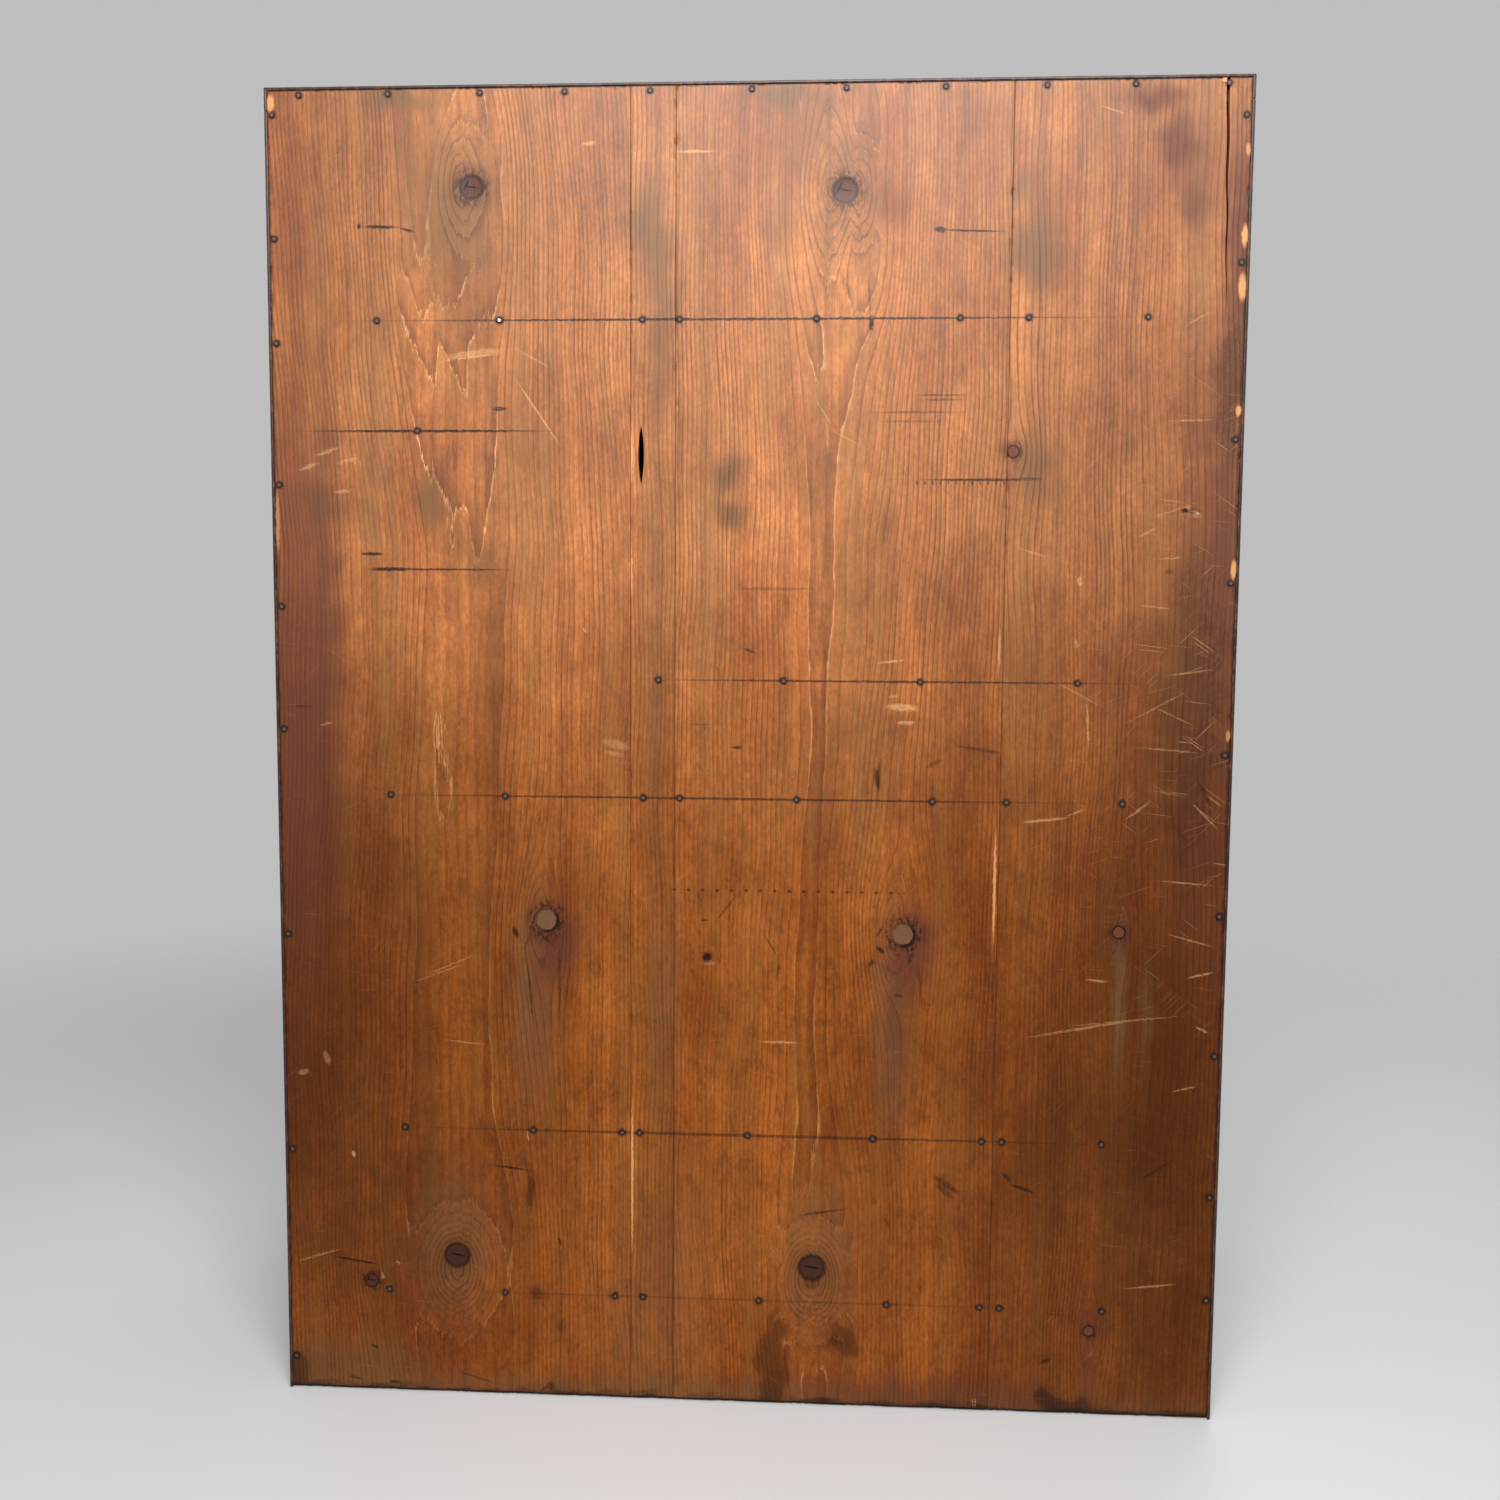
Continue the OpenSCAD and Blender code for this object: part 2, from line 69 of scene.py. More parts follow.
def rgb(red, green, blue):
    """A colour given in screen values from 0 to 255, as linear light."""
    def linear(value):
        value /= 255
        return value / 12.92 if value <= 0.04045 else ((value + 0.055) / 1.055) ** 2.4
    return (linear(red), linear(green), linear(blue), 1.0)


# ---------------------------------------------------------------- node graphs


class Num:
    """A number that nodes compute. Its operators add math nodes, so a material reads as formulas."""

    def __init__(self, graph, socket):
        self.graph = graph
        self.socket = socket

    def __add__(self, other):
        return self.graph.math("ADD", self, other)

    def __sub__(self, other):
        return self.graph.math("SUBTRACT", self, other)

    def __mul__(self, other):
        return self.graph.math("MULTIPLY", self, other)

    def __truediv__(self, other):
        return self.graph.math("DIVIDE", self, other)

    def __rsub__(self, other):
        return self.graph.math("SUBTRACT", other, self)

    __radd__ = __add__
    __rmul__ = __mul__


class Graph:
    """The node graph of one material. Lengths in it are in millimetres, in the frame's axes."""

    def __init__(self, name):
        self.material = bpy.data.materials.new(name)
        self.material.use_nodes = True
        self.tree = self.material.node_tree
        self.shader = self.tree.nodes["Principled BSDF"]
        coordinates = self.add("ShaderNodeTexCoord")
        self.point = self.mapped(coordinates.outputs["Object"], scale=(1 / MM, 1 / MM, 1 / MM))
        self.flat = self.mapped(self.point, scale=(1, 0, 1))
        self.x, self.y, self.z = self.split(self.point)
        self.normal = coordinates.outputs["Normal"]

    def add(self, kind, **settings):
        node = self.tree.nodes.new(kind)
        for key, value in settings.items():
            setattr(node, key, value)
        return node

    def feed(self, socket, value):
        if isinstance(value, Num):
            value = value.socket
        if isinstance(value, bpy.types.NodeSocket):
            self.tree.links.new(value, socket)
        else:
            socket.default_value = value

    def math(self, operation, a, b=0.0, c=0.0):
        node = self.add("ShaderNodeMath", operation=operation)
        for socket, value in zip(node.inputs, (a, b, c)):
            self.feed(socket, value)
        return Num(self, node.outputs[0])

    def vector(self, operation, a, b):
        """The result of a vector operation on a and b."""
        node = self.add("ShaderNodeVectorMath", operation=operation)
        self.feed(node.inputs[0], a)
        self.feed(node.inputs[1], b)
        return node.outputs["Value" if operation == "DISTANCE" else "Vector"]

    def mapped(self, point, scale=(1, 1, 1), shift=(0, 0, 0), turn=0.0, kind="POINT"):
        """The point scaled, turned about y and shifted. A TEXTURE mapping undoes the same."""
        node = self.add("ShaderNodeMapping", vector_type=kind)
        self.feed(node.inputs["Vector"], point)
        node.inputs["Location"].default_value = shift
        node.inputs["Rotation"].default_value = (0, turn, 0)
        node.inputs["Scale"].default_value = scale
        return node.outputs[0]

    def split(self, vector):
        node = self.add("ShaderNodeSeparateXYZ")
        self.feed(node.inputs[0], vector)
        return [Num(self, socket) for socket in node.outputs]

    def join(self, x, y, z):
        node = self.add("ShaderNodeCombineXYZ")
        for socket, value in zip(node.inputs, (x, y, z)):
            self.feed(socket, value)
        return node.outputs[0]

    def step(self, value, low, high):
        """0 below low, 1 above high, with a smooth rise between them."""
        node = self.add("ShaderNodeMapRange", interpolation_type="SMOOTHSTEP")
        for socket, number in zip(node.inputs, (value, low, high)):
            self.feed(socket, number)
        return Num(self, node.outputs[0])

    def either(self, a, b):
        """The greater of two masks, either of which may be None."""
        if a is None or b is None:
            return b if a is None else a
        return self.math("MAXIMUM", a, b)

    def attribute(self, name):
        node = self.add("ShaderNodeAttribute", attribute_name=name)
        return Num(self, node.outputs["Fac"])

    def noise(self, size, detail=2.0, roughness=0.5, shift=(0, 0, 0), point=None):
        """Noise from 0 to 1 whose lumps are about size = (x, y, z) millimetres."""
        offset = [move / length for move, length in zip(shift, size)]
        start = self.point if point is None else point
        scaled = self.mapped(start, scale=[1 / length for length in size], shift=offset)
        node = self.add("ShaderNodeTexNoise")
        self.feed(node.inputs["Vector"], scaled)
        node.inputs["Scale"].default_value = 1.0
        node.inputs["Detail"].default_value = detail
        node.inputs["Roughness"].default_value = roughness
        return Num(self, node.outputs["Fac"])

    def chance(self, number):
        """A random value from 0 to 1 for each whole number."""
        node = self.add("ShaderNodeTexWhiteNoise", noise_dimensions="1D")
        self.feed(node.inputs["W"], number)
        return Num(self, node.outputs["Value"])

    def mix(self, amount, a, b, blend="MIX"):
        """Colour a, turned towards colour b by amount."""
        node = self.add("ShaderNodeMix", data_type="RGBA", blend_type=blend)
        self.feed(node.inputs[0], amount)
        self.feed(node.inputs[6], a)
        self.feed(node.inputs[7], b)
        return node.outputs[2]

    def bright(self, colour, factor):
        """The colour times a number."""
        node = self.add("ShaderNodeCombineColor")
        for socket in node.inputs:
            self.feed(socket, factor)
        return self.mix(1.0, colour, node.outputs[0], blend="MULTIPLY")

    def nearest(self, places):
        """Distance in the x-z plane from the nearest of the places."""
        best = None
        for x, z in places:
            away = Num(self, self.vector("DISTANCE", self.flat, (x, 0.0, z)))
            best = away if best is None else self.math("MINIMUM", best, away)
        return best

    def stroke(self, start, end, width, point=None):
        """1 along a tapered stroke from start to end in the x-z plane, 0 off it."""
        across = end[0] - start[0]
        rise = end[1] - start[1]
        middle = ((start[0] + end[0]) / 2, rear_face, (start[1] + end[1]) / 2)
        half = (math.hypot(across, rise) / 2, DEEP, width * 0.8)
        turn = -math.atan2(rise, across)
        local = self.mapped(self.point if point is None else point, half, middle, turn, "TEXTURE")
        ball = self.add("ShaderNodeTexGradient", gradient_type="SPHERICAL")
        self.feed(ball.inputs["Vector"], local)
        return self.step(Num(self, ball.outputs["Fac"]), 0.0, 0.55)

    def dents(self, high_x, low_x, z, gap, half_width, half_height):
        """1 on the small dents of a level row, 0 between them."""
        aside = self.math("PINGPONG", self.x - low_x, gap / 2) / half_width
        above = (self.z - z) / half_height
        near = 1 - self.step(aside * aside + above * above, 0.3, 1.0)
        return near * self.step(self.x, low_x, low_x + 1) * (1 - self.step(self.x, high_x - 1, high_x))

    def scratches(self, turn, shift):
        """1 along thin straight scratches that lie at one angle in the x-z plane, 0 between them."""
        moved = self.mapped(self.point, turn=turn)
        thin = self.noise((42, DEEP, 0.55), detail=0, shift=(shift, 0, shift), point=moved)
        some = self.noise((60, DEEP, 14), detail=1, shift=(shift * 3, 0, shift), point=moved)
        return self.step(thin, 0.76, 0.82) * self.step(some, 0.5, 0.6)

    def layer(self, amount, below, above):
        """Shows the shader above in place of the one below, by amount."""
        choice = self.add("ShaderNodeMixShader")
        for socket, value in zip(choice.inputs, (amount, below, above)):
            self.feed(socket, value)
        self.feed(self.tree.nodes["Material Output"].inputs["Surface"], choice.outputs[0])

    def finish(self, colour, roughness, height, bump=1.0, **values):
        """Feeds the shader. height is in millimetres."""
        self.feed(self.shader.inputs["Base Color"], colour)
        self.feed(self.shader.inputs["Roughness"], roughness)
        for key, value in values.items():
            self.feed(self.shader.inputs[key.replace("_", " ")], value)
        node = self.add("ShaderNodeBump")
        node.inputs["Strength"].default_value = bump
        node.inputs["Distance"].default_value = MM
        self.feed(node.inputs["Height"], height)
        self.feed(self.shader.inputs["Normal"], node.outputs[0])
        return self.material


# ---------------------------------------------------------------- growth rings of the cedar boards

RING = 3.6  # usual distance between two growth rings
WIDEST = 60.0  # greatest distance between them that matters


class Knot:
    """A knot at (x, z). Grain runs round it within reach, which is stretched along the board.

    Extra rings close round a place that lies a drop below it."""

    def __init__(self, x, z, radius, reach, stretch=3.0, rings=0.0, drop=0.0, kind="dark"):
        self.x = x
        self.z = z
        self.radius = radius
        self.reach = reach
        self.stretch = stretch
        self.rings = rings
        self.drop = drop
        self.kind = kind


KNOTS = {
    "back_board_1": [
        Knot(216, 974, 8.5, 27, stretch=2.6, rings=2.5, kind="brown"),
        Knot(160, 400, 8.8, 17, stretch=3.2, rings=1.5, kind="tan"),
        Knot(236, 118.6, 9.8, 26, stretch=2.6, rings=9, drop=12),
        Knot(308, 95, 5.5, 7, stretch=2.5, kind="brown"),
    ],
    "back_strip": [],
    "back_board_2": [
        Knot(-73, 969, 9, 38, stretch=3.6, rings=4, kind="brown"),
        Knot(-126, 393, 8.8, 19, stretch=3.2, rings=1.5, kind="tan"),
        Knot(-56, 117, 10.2, 27, stretch=2.6, rings=9, drop=12),
    ],
    "back_board_3": [
        Knot(-295, 398, 4.8, 10, stretch=3.5, kind="ring"),
        Knot(-204.5, 772, 4.5, 9, stretch=2.0, kind="ring"),
        Knot(-280, 71, 4.2, 9, stretch=3.5, kind="ring"),
    ],
}


TONGUE_TOP = 914.0  # height at which board 1's tongues start
TONGUE_RING = 8.0  # distance between their sides
POINT_GAP = 19.0  # distance between the two points of a tip


def figure_1(x, z):
    """Board 1: nested tongues that hang down from the top knot, with straight lines beside them.

    Each tongue has a blunt tip with two points."""
    centre = 228 + 7 * np.sin(z / 160) + 11 * np.clip((z - 700) / 150, 0, 1)
    across = np.abs(x - centre)
    points = 1 - 4 * np.abs(((x - centre) / POINT_GAP + 0.5) % 1 - 0.5)
    ragged = (4 + 11 * np.clip((880 - z) / 40, 0, 1)) * points + 3 * np.sin(x / 3.4 + z / 60)
    below = TONGUE_TOP - z + ragged
    depth = np.where(below > 0, 3.3 * (1 - np.exp(-below / 82)), below / 220)
    blunt = np.maximum(across - 9, 0) / TONGUE_RING
    straight = np.maximum(across - 30, 0) * (1 / RING - 1 / TONGUE_RING)
    return np.hypot(blunt + straight, 1.2 + depth)


def figure_2(x, z):
    """Board 2: straight lines that draw together into narrow points under the top knot."""
    centre = -61 + 5 * np.sin(z / 190)
    across = np.abs(x - centre)
    depth = 0.4 + 1.6 / (1 + np.exp((z - 820) / 40))
    narrow = 5.5
    side = across / narrow + np.maximum(across - 20, 0) * (1 / RING - 1 / narrow)
    return np.hypot(side, depth)


def figure_strip(x, z):
    """The strip: straight, even lines."""
    return (x + 1.5 * np.sin(z / 210)) / RING


def figure_3(x, z):
    """Board 3: lines that stand close together on one side and wide apart on the other."""
    return (x + 3 * np.sin(z / 240) + 1.2 * np.sin(z / 90 + x / 50)) / 3.9 + 1.5 * np.sin(x / 21)


FIGURES = {
    "back_board_1": figure_1,
    "back_strip": figure_strip,
    "back_board_2": figure_2,
    "back_board_3": figure_3,
}


def ring_number(board, x, z):
    """Growth rings from the heart to each point, so that whole numbers are the ring lines."""
    warped = x.copy()
    extra = np.zeros_like(x)
    for knot in KNOTS[board]:
        away_x = x - knot.x
        away_z = z - knot.z
        squared = away_x**2 + (away_z / knot.stretch) ** 2
        warped = warped - away_x * knot.reach**2 / (squared + knot.reach**2 * 0.35)
        low = (away_z + knot.drop) / 38
        extra = extra + knot.rings * np.exp(-((away_x / 25) ** 2) - low**2)
    wander = 1.4 * np.sin(z / 57 + x / 31) + 0.8 * np.sin(z / 23 - x / 17)
    return FIGURES[board](warped + wander, z) + extra


def ring_slope(board, x, z):
    """Distance between ring lines at each point, and how level they lie there, from 0 to 1."""
    along_x = ring_number(board, x + 0.5, z) - ring_number(board, x - 0.5, z)
    along_z = ring_number(board, x, z + 0.5) - ring_number(board, x, z - 0.5)
    steepness = np.maximum(np.hypot(along_x, along_z), 1 / WIDEST)
    return 1 / steepness, np.clip(np.abs(along_z) / steepness, 0, 1) ** 2


def eye(board, x, z):
    """How near each point lies to a knot with many closed rings, from 0 to 1."""
    total = np.zeros_like(x)
    for knot in KNOTS[board]:
        if knot.rings > 2:
            away_x = (x - knot.x) / 24
            away_z = (z - knot.z + knot.drop) / 46
            total = total + np.exp(-(away_x**2) - away_z**2) * min(1.0, knot.rings / 3)
    return np.minimum(total, 1.0)


# ---------------------------------------------------------------- stains of the cedar boards

# Each stain is (x, z, half width, half height, strength).
STAINS = {
    "purple": [
        (376, 580, 44, 230, 0.8),
        (340, 655, 16, 105, 0.6),
        (352, 480, 22, 140, 0.4),
        (352, 945, 26, 60, 0.35),
        (-322, 1000, 14, 24, 0.9),
        (-345, 985, 20, 40, 0.4),
        (-336, 955, 9, 16, 0.6),
        (-306, 1034, 22, 9, 0.85),
        (-372, 940, 12, 70, 0.85),
        (-366, 700, 20, 170, 0.75),
        (-364, 480, 26, 130, 0.45),
        (-150, 12, 120, 17, 0.55),
        (152, 381, 18, 30, 0.85),
        (-134, 380, 19, 32, 0.9),
        (-110, 955, 12, 15, 0.35),
        (-296, 392, 9, 16, 0.5),
        (-202, 772, 7, 7, 0.6),
        (216, 974, 13, 14, 0.4),
        (-280, 40, 6, 34, 0.6),
        (-280, 78, 12, 20, 0.35),
        (166, 330, 9, 60, 0.4),
        (-122, 330, 8, 60, 0.45),
    ],
    "grey": [
        (230, 956, 36, 58, 0.75),
        (250, 735, 12, 24, 0.85),
        (345, 730, 26, 14, 0.4),
        (308, 722, 18, 14, 0.35),
        (276, 1041, 24, 9, 1.0),
        (268, 1005, 9, 46, 0.45),
        (214, 690, 13, 26, 0.5),
        (222, 845, 14, 46, 0.3),
        (-32, 1040, 20, 9, 1.0),
        (-42, 1005, 10, 34, 0.55),
        (-24, 945, 14, 20, 0.4),
        (-73, 940, 26, 20, 0.45),
        (-75, 998, 14, 18, 0.45),
        (17, 755, 12, 13, 0.95),
        (15, 724, 11, 12, 0.95),
        (-44, 738, 7, 22, 0.4),
        (-218, 922, 20, 26, 0.85),
        (-208, 970, 11, 12, 0.6),
        (-218, 765, 18, 22, 0.75),
        (-238, 742, 12, 10, 0.5),
        (80, 945, 14, 38, 0.85),
        (66, 880, 9, 70, 0.8),
        (75, 640, 16, 130, 0.35),
        (66, 330, 12, 110, 0.45),
        (75, 60, 40, 70, 0.4),
        (172, 340, 16, 90, 0.55),
        (-118, 330, 14, 90, 0.55),
        (-297, 350, 5, 60, 0.6),
        (-318, 335, 6, 40, 0.4),
        (236, 122, 34, 58, 0.5),
        (-58, 122, 30, 62, 0.55),
        (0, 6, 400, 12, 0.6),
        (-75, 520, 60, 60, 0.25),
        (60, 160, 50, 60, 0.25),
        (330, 20, 60, 22, 0.5),
    ],
    "dark": [
        (-24, 34, 14, 44, 0.85),
        (-83, 56, 12, 18, 0.7),
        (-262, 6, 26, 9, 0.9),
        (-244, 14, 8, 7, 0.8),
        (175, 176, 4, 17, 0.7),
        (171, 86, 7, 8, 0.6),
        (150, 60, 6, 10, 0.5),
        (336, 800, 34, 70, 0.15),
        (-170, 640, 24, 70, 0.3),
        (-345, 420, 30, 190, 0.35),
        (-330, 170, 44, 120, 0.3),
        (310, 330, 60, 200, 0.3),
        (376, 20, 14, 18, 0.8),
        (-190, 538, 22, 6, 0.4),
        (-104, 517, 3, 15, 0.75),
        (-126, 560, 22, 9, 0.3),
        (-335, 620, 60, 150, 0.45),
        (-368, 830, 22, 70, 0.5),
    ],
    "pale": [
        (232, 1003, 12, 26, 0.75),
        (250, 640, 22, 60, 0.55),
        (262, 800, 10, 90, 0.35),
        (330, 762, 30, 12, 0.5),
        (300, 740, 16, 8, 0.4),
        (-10, 700, 34, 60, 0.4),
        (-62, 560, 22, 40, 0.25),
        (-130, 900, 40, 60, 0.3),
        (-112, 410, 5, 14, 0.6),
        (-92, 402, 12, 14, 0.45),
        (186, 400, 10, 8, 0.35),
        (-196, 407, 3.5, 34, 0.9),
        (90, 190, 3.5, 90, 0.9),
        (90, 768, 2.5, 26, 0.9),
        (90, 680, 2.5, 26, 0.6),
        (-57, 141, 10, 14, 0.4),
        (-84, 130, 12, 10, 0.4),
    ],
}


def stain(kind, x, z):
    """How strong the stains of one kind are at each point, from 0 to 1."""
    clear = np.ones_like(x)
    ragged_x = 2.5 * np.sin(z / 7.5 + x / 19) + 1.5 * np.sin(z / 3.1)
    ragged_z = 3.0 * np.sin(x / 6.3 - z / 23) + 1.5 * np.sin(x / 2.7)
    for stain_x, stain_z, half_x, half_z, strength in STAINS[kind]:
        loose = min(1.0, half_x / 12)
        across = (x - stain_x + ragged_x * loose) / half_x
        along = (z - stain_z + ragged_z * loose) / half_z
        clear = clear * (1 - strength * np.exp(-((across**2 + along**2) ** 1.5) * 0.8))
    return 1 - clear


# ---------------------------------------------------------------- cedar boards as meshes

BOARDS = ("back_board_1", "back_strip", "back_board_2", "back_board_3")
GRID = 4.0
FINE = 1.25
EDGE_LINES = (0.3, 0.7, 1.5, 2.6)
JOINT_FILL = 0.15  # each board swells this far into its joints

# An opening is (x at the top, x at the foot, top z, foot z, greatest width).
SLOT = (83.9, 83.9, 792.4, 746.2, 4.6)
SPLIT = (-358.4, -361.8, 1048.3, 872.0, 2.6)
OPENINGS = {"back_strip": SLOT, "back_board_3": SPLIT}
BESIDE = (-5, -2.5, -1, 1, 2.5, 5)  # grid columns beside an opening

# Each hollow is (x, z, half width, half height, depth).
HOLLOWS = [
    (30.5, 371.4, 5.5, 3.2, 2.6),
    (-336.0, 727.5, 3.0, 1.6, 2.4),
    (-343.0, 726.0, 4.5, 1.4, 0.9),
    (160, 400, 8.5, 8.5, 0.35),
    (-126, 393, 8.5, 8.5, 0.35),
    (236, 118.6, 10, 10, 0.5),
    (-56, 117, 10.5, 11, 0.5),
    (216, 974, 9, 10, 0.35),
    (-73, 969, 9.5, 9, 0.35),
]


def lines_between(low, high, spots):
    """Grid positions from low to high, closer together near the spots."""
    places = [low + step for step in (0,) + EDGE_LINES]
    position = places[-1]
    while position < high - EDGE_LINES[-1] - FINE:
        near = min([abs(position - spot) - reach for spot, reach in spots] + [GRID * 4])
        position += FINE if near < 0 else GRID if near > GRID else (FINE + GRID) / 2
        places.append(min(position, high - EDGE_LINES[-1] - FINE / 2))
    return places + [high - step for step in reversed((0,) + EDGE_LINES)]


def opening_at(board, z):
    """Middle and width of the board's opening at each height."""
    top_x, foot_x, top, foot, width = OPENINGS[board]
    share = np.clip((z - foot) / (top - foot), 0, 1)
    middle = foot_x + (top_x - foot_x) * share
    if board == "back_strip":
        return middle, width * np.sin(np.pi * share) ** 0.8
    return middle + 0.35 * np.sin(z / 9) * (share > 0), width * share**0.7


def relief(x, z, low, high):
    """How far the worn rear face lies below the flat one at each point, in millimetres."""
    edge = np.minimum(np.minimum(x - low[0], high[0] - x), np.minimum(z - low[1], high[1] - z))
    chipped = np.clip(np.sin(z / 5.3 + x) + np.sin(z / 2.1) + np.sin(z / 31 + x / 9) - 1.3, 0, 1)
    depth = 0.3 * np.exp(-edge / 0.35) + 0.8 * chipped * np.exp(-((edge / 1.4) ** 2))
    for hollow_x, hollow_z, half_x, half_z, deep in HOLLOWS:
        away = ((x - hollow_x) / half_x) ** 2 + ((z - hollow_z) / half_z) ** 2
        depth = depth + deep * np.exp(-(away**2))
    return depth + 0.12 * (1 + np.sin(x / 37) * np.sin(z / 190))


def board_grid(board):
    """The grid's corners, the column to leave open, and the board's lowest and highest (x, z)."""
    low_corner, high_corner = (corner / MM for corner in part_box(board))
    low = (low_corner.x - JOINT_FILL, low_corner.z)
    high = (high_corner.x + JOINT_FILL, high_corner.z)
    knots = KNOTS[board]
    columns = lines_between(low[0], high[0], [(knot.x, knot.radius + 7) for knot in knots])
    rows = lines_between(low[1], high[1], [(knot.z, knot.radius + 9) for knot in knots])
    opening = board in OPENINGS
    if opening:
        middle = (OPENINGS[board][0] + OPENINGS[board][1]) / 2
        columns = [c for c in columns if abs(c - middle) > BESIDE[-1] + 0.6]
        columns = sorted(columns + [middle + offset for offset in BESIDE])
        cut = columns.index(middle - 1)
        rows = sorted(set(rows) | {OPENINGS[board][2], OPENINGS[board][3]})
    x, z = np.meshgrid(np.array(columns), np.array(rows))
    if opening:
        centre, width = opening_at(board, z)
        reach = np.clip((BESIDE[-1] + 1 - np.abs(x - middle)) / BESIDE[-1], 0, 1)
        widen = np.where(x < middle, 1 - width / 2, width / 2 - 1)
        x = x + reach * (centre - middle + widen)
    return x, z, cut if opening else None, low, high


def board_faces(row_count, column_count, cut, open_rows):
    """Corner numbers of the grid's squares, and the outer edges where front and back are joined."""
    squares = []
    edges = set()
    for row in range(row_count - 1):
        for column in range(column_count - 1):
            if column == cut and open_rows[row]:
                continue
            a = row * column_count + column
            square = (a, a + column_count, a + column_count + 1, a + 1)
            squares.append(square)
            for first, second in zip(square, square[1:] + square[:1]):
                if (second, first) in edges:
                    edges.remove((second, first))
                else:
                    edges.add((first, second))
    return squares, sorted(edges)


def build_board(board):
    """The board's mesh piece, with what its material reads stored at each corner."""
    x, z, cut, low, high = board_grid(board)
    front = rear_face - relief(x, z, low, high)
    back = np.full_like(x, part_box(board)[0].y / MM)
    row_count, column_count = x.shape
    open_rows = []
    if cut is not None:
        widths = opening_at(board, z[:, 0])[1]
        open_rows = [max(a, b) > 0.05 for a, b in zip(widths, widths[1:])]
    squares, rim = board_faces(row_count, column_count, cut, open_rows)
    count = x.size
    points = [np.stack([x, side, z], -1).reshape(-1, 3) for side in (front, back)]
    points = np.concatenate(points) * MM
    faces = squares + [tuple(count + i for i in reversed(square)) for square in squares]
    faces += [(second, first, count + first, count + second) for first, second in rim]
    mesh = bpy.data.meshes.new(board + "_cedar")
    mesh.from_pydata(points.tolist(), [], faces)
    spacing, hang = ring_slope(board, x, z)
    fields = {kind: stain(kind, x, z) for kind in STAINS}
    fields["ring"] = ring_number(board, x, z)
    fields["spacing"] = spacing
    fields["hang"] = hang
    fields["eye"] = eye(board, x, z)
    for name, values in fields.items():
        attribute = mesh.attributes.new(name, "FLOAT", "POINT")
        attribute.data.foreach_set("value", np.tile(values.ravel(), 2).astype(np.float32))
    mesh.validate()
    mesh.update()
    piece = bpy.data.objects.new(board + "_cedar", mesh)
    bpy.context.scene.collection.objects.link(piece)
    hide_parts(board)
    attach(piece, "case")
    return piece


# ---------------------------------------------------------------- marks of the cedar boards

SHELF_ROWS = {
    873: [292, 195, 83, 54, -52, -162, -214, -304],
    788: [261],
    594: [70, -29, -136, -258],
    500: [286, 193, 82, 53, -40, -147, -205, -295],
    226: [278, 172, 99, 85, -3, -104, -191, -207, -286],
    88: [293, 196, 105, 82, -13, -117, -192, -208, -290],
}
TOP_NAILS = [351, 281, 209, 143, 77, -1, -73, -148, -224, -290, -359]
LEFT_NAILS = [100, 185, 300, 412, 539, 672, 781, 913, 1021]
RIGHT_NAILS = [28, 205, 385, 552, 650, 746, 856, 936, 1030]
BRIGHT_NAIL = (195, 873)  # its head is rubbed bright
NAILS = [(x, z) for z, row in SHELF_ROWS.items() for x in row]
NAILS += [(x, 1044.5) for x in TOP_NAILS]
NAILS += [(372.5, z) for z in RIGHT_NAILS]
NAILS += [(-372.5, z) for z in LEFT_NAILS]

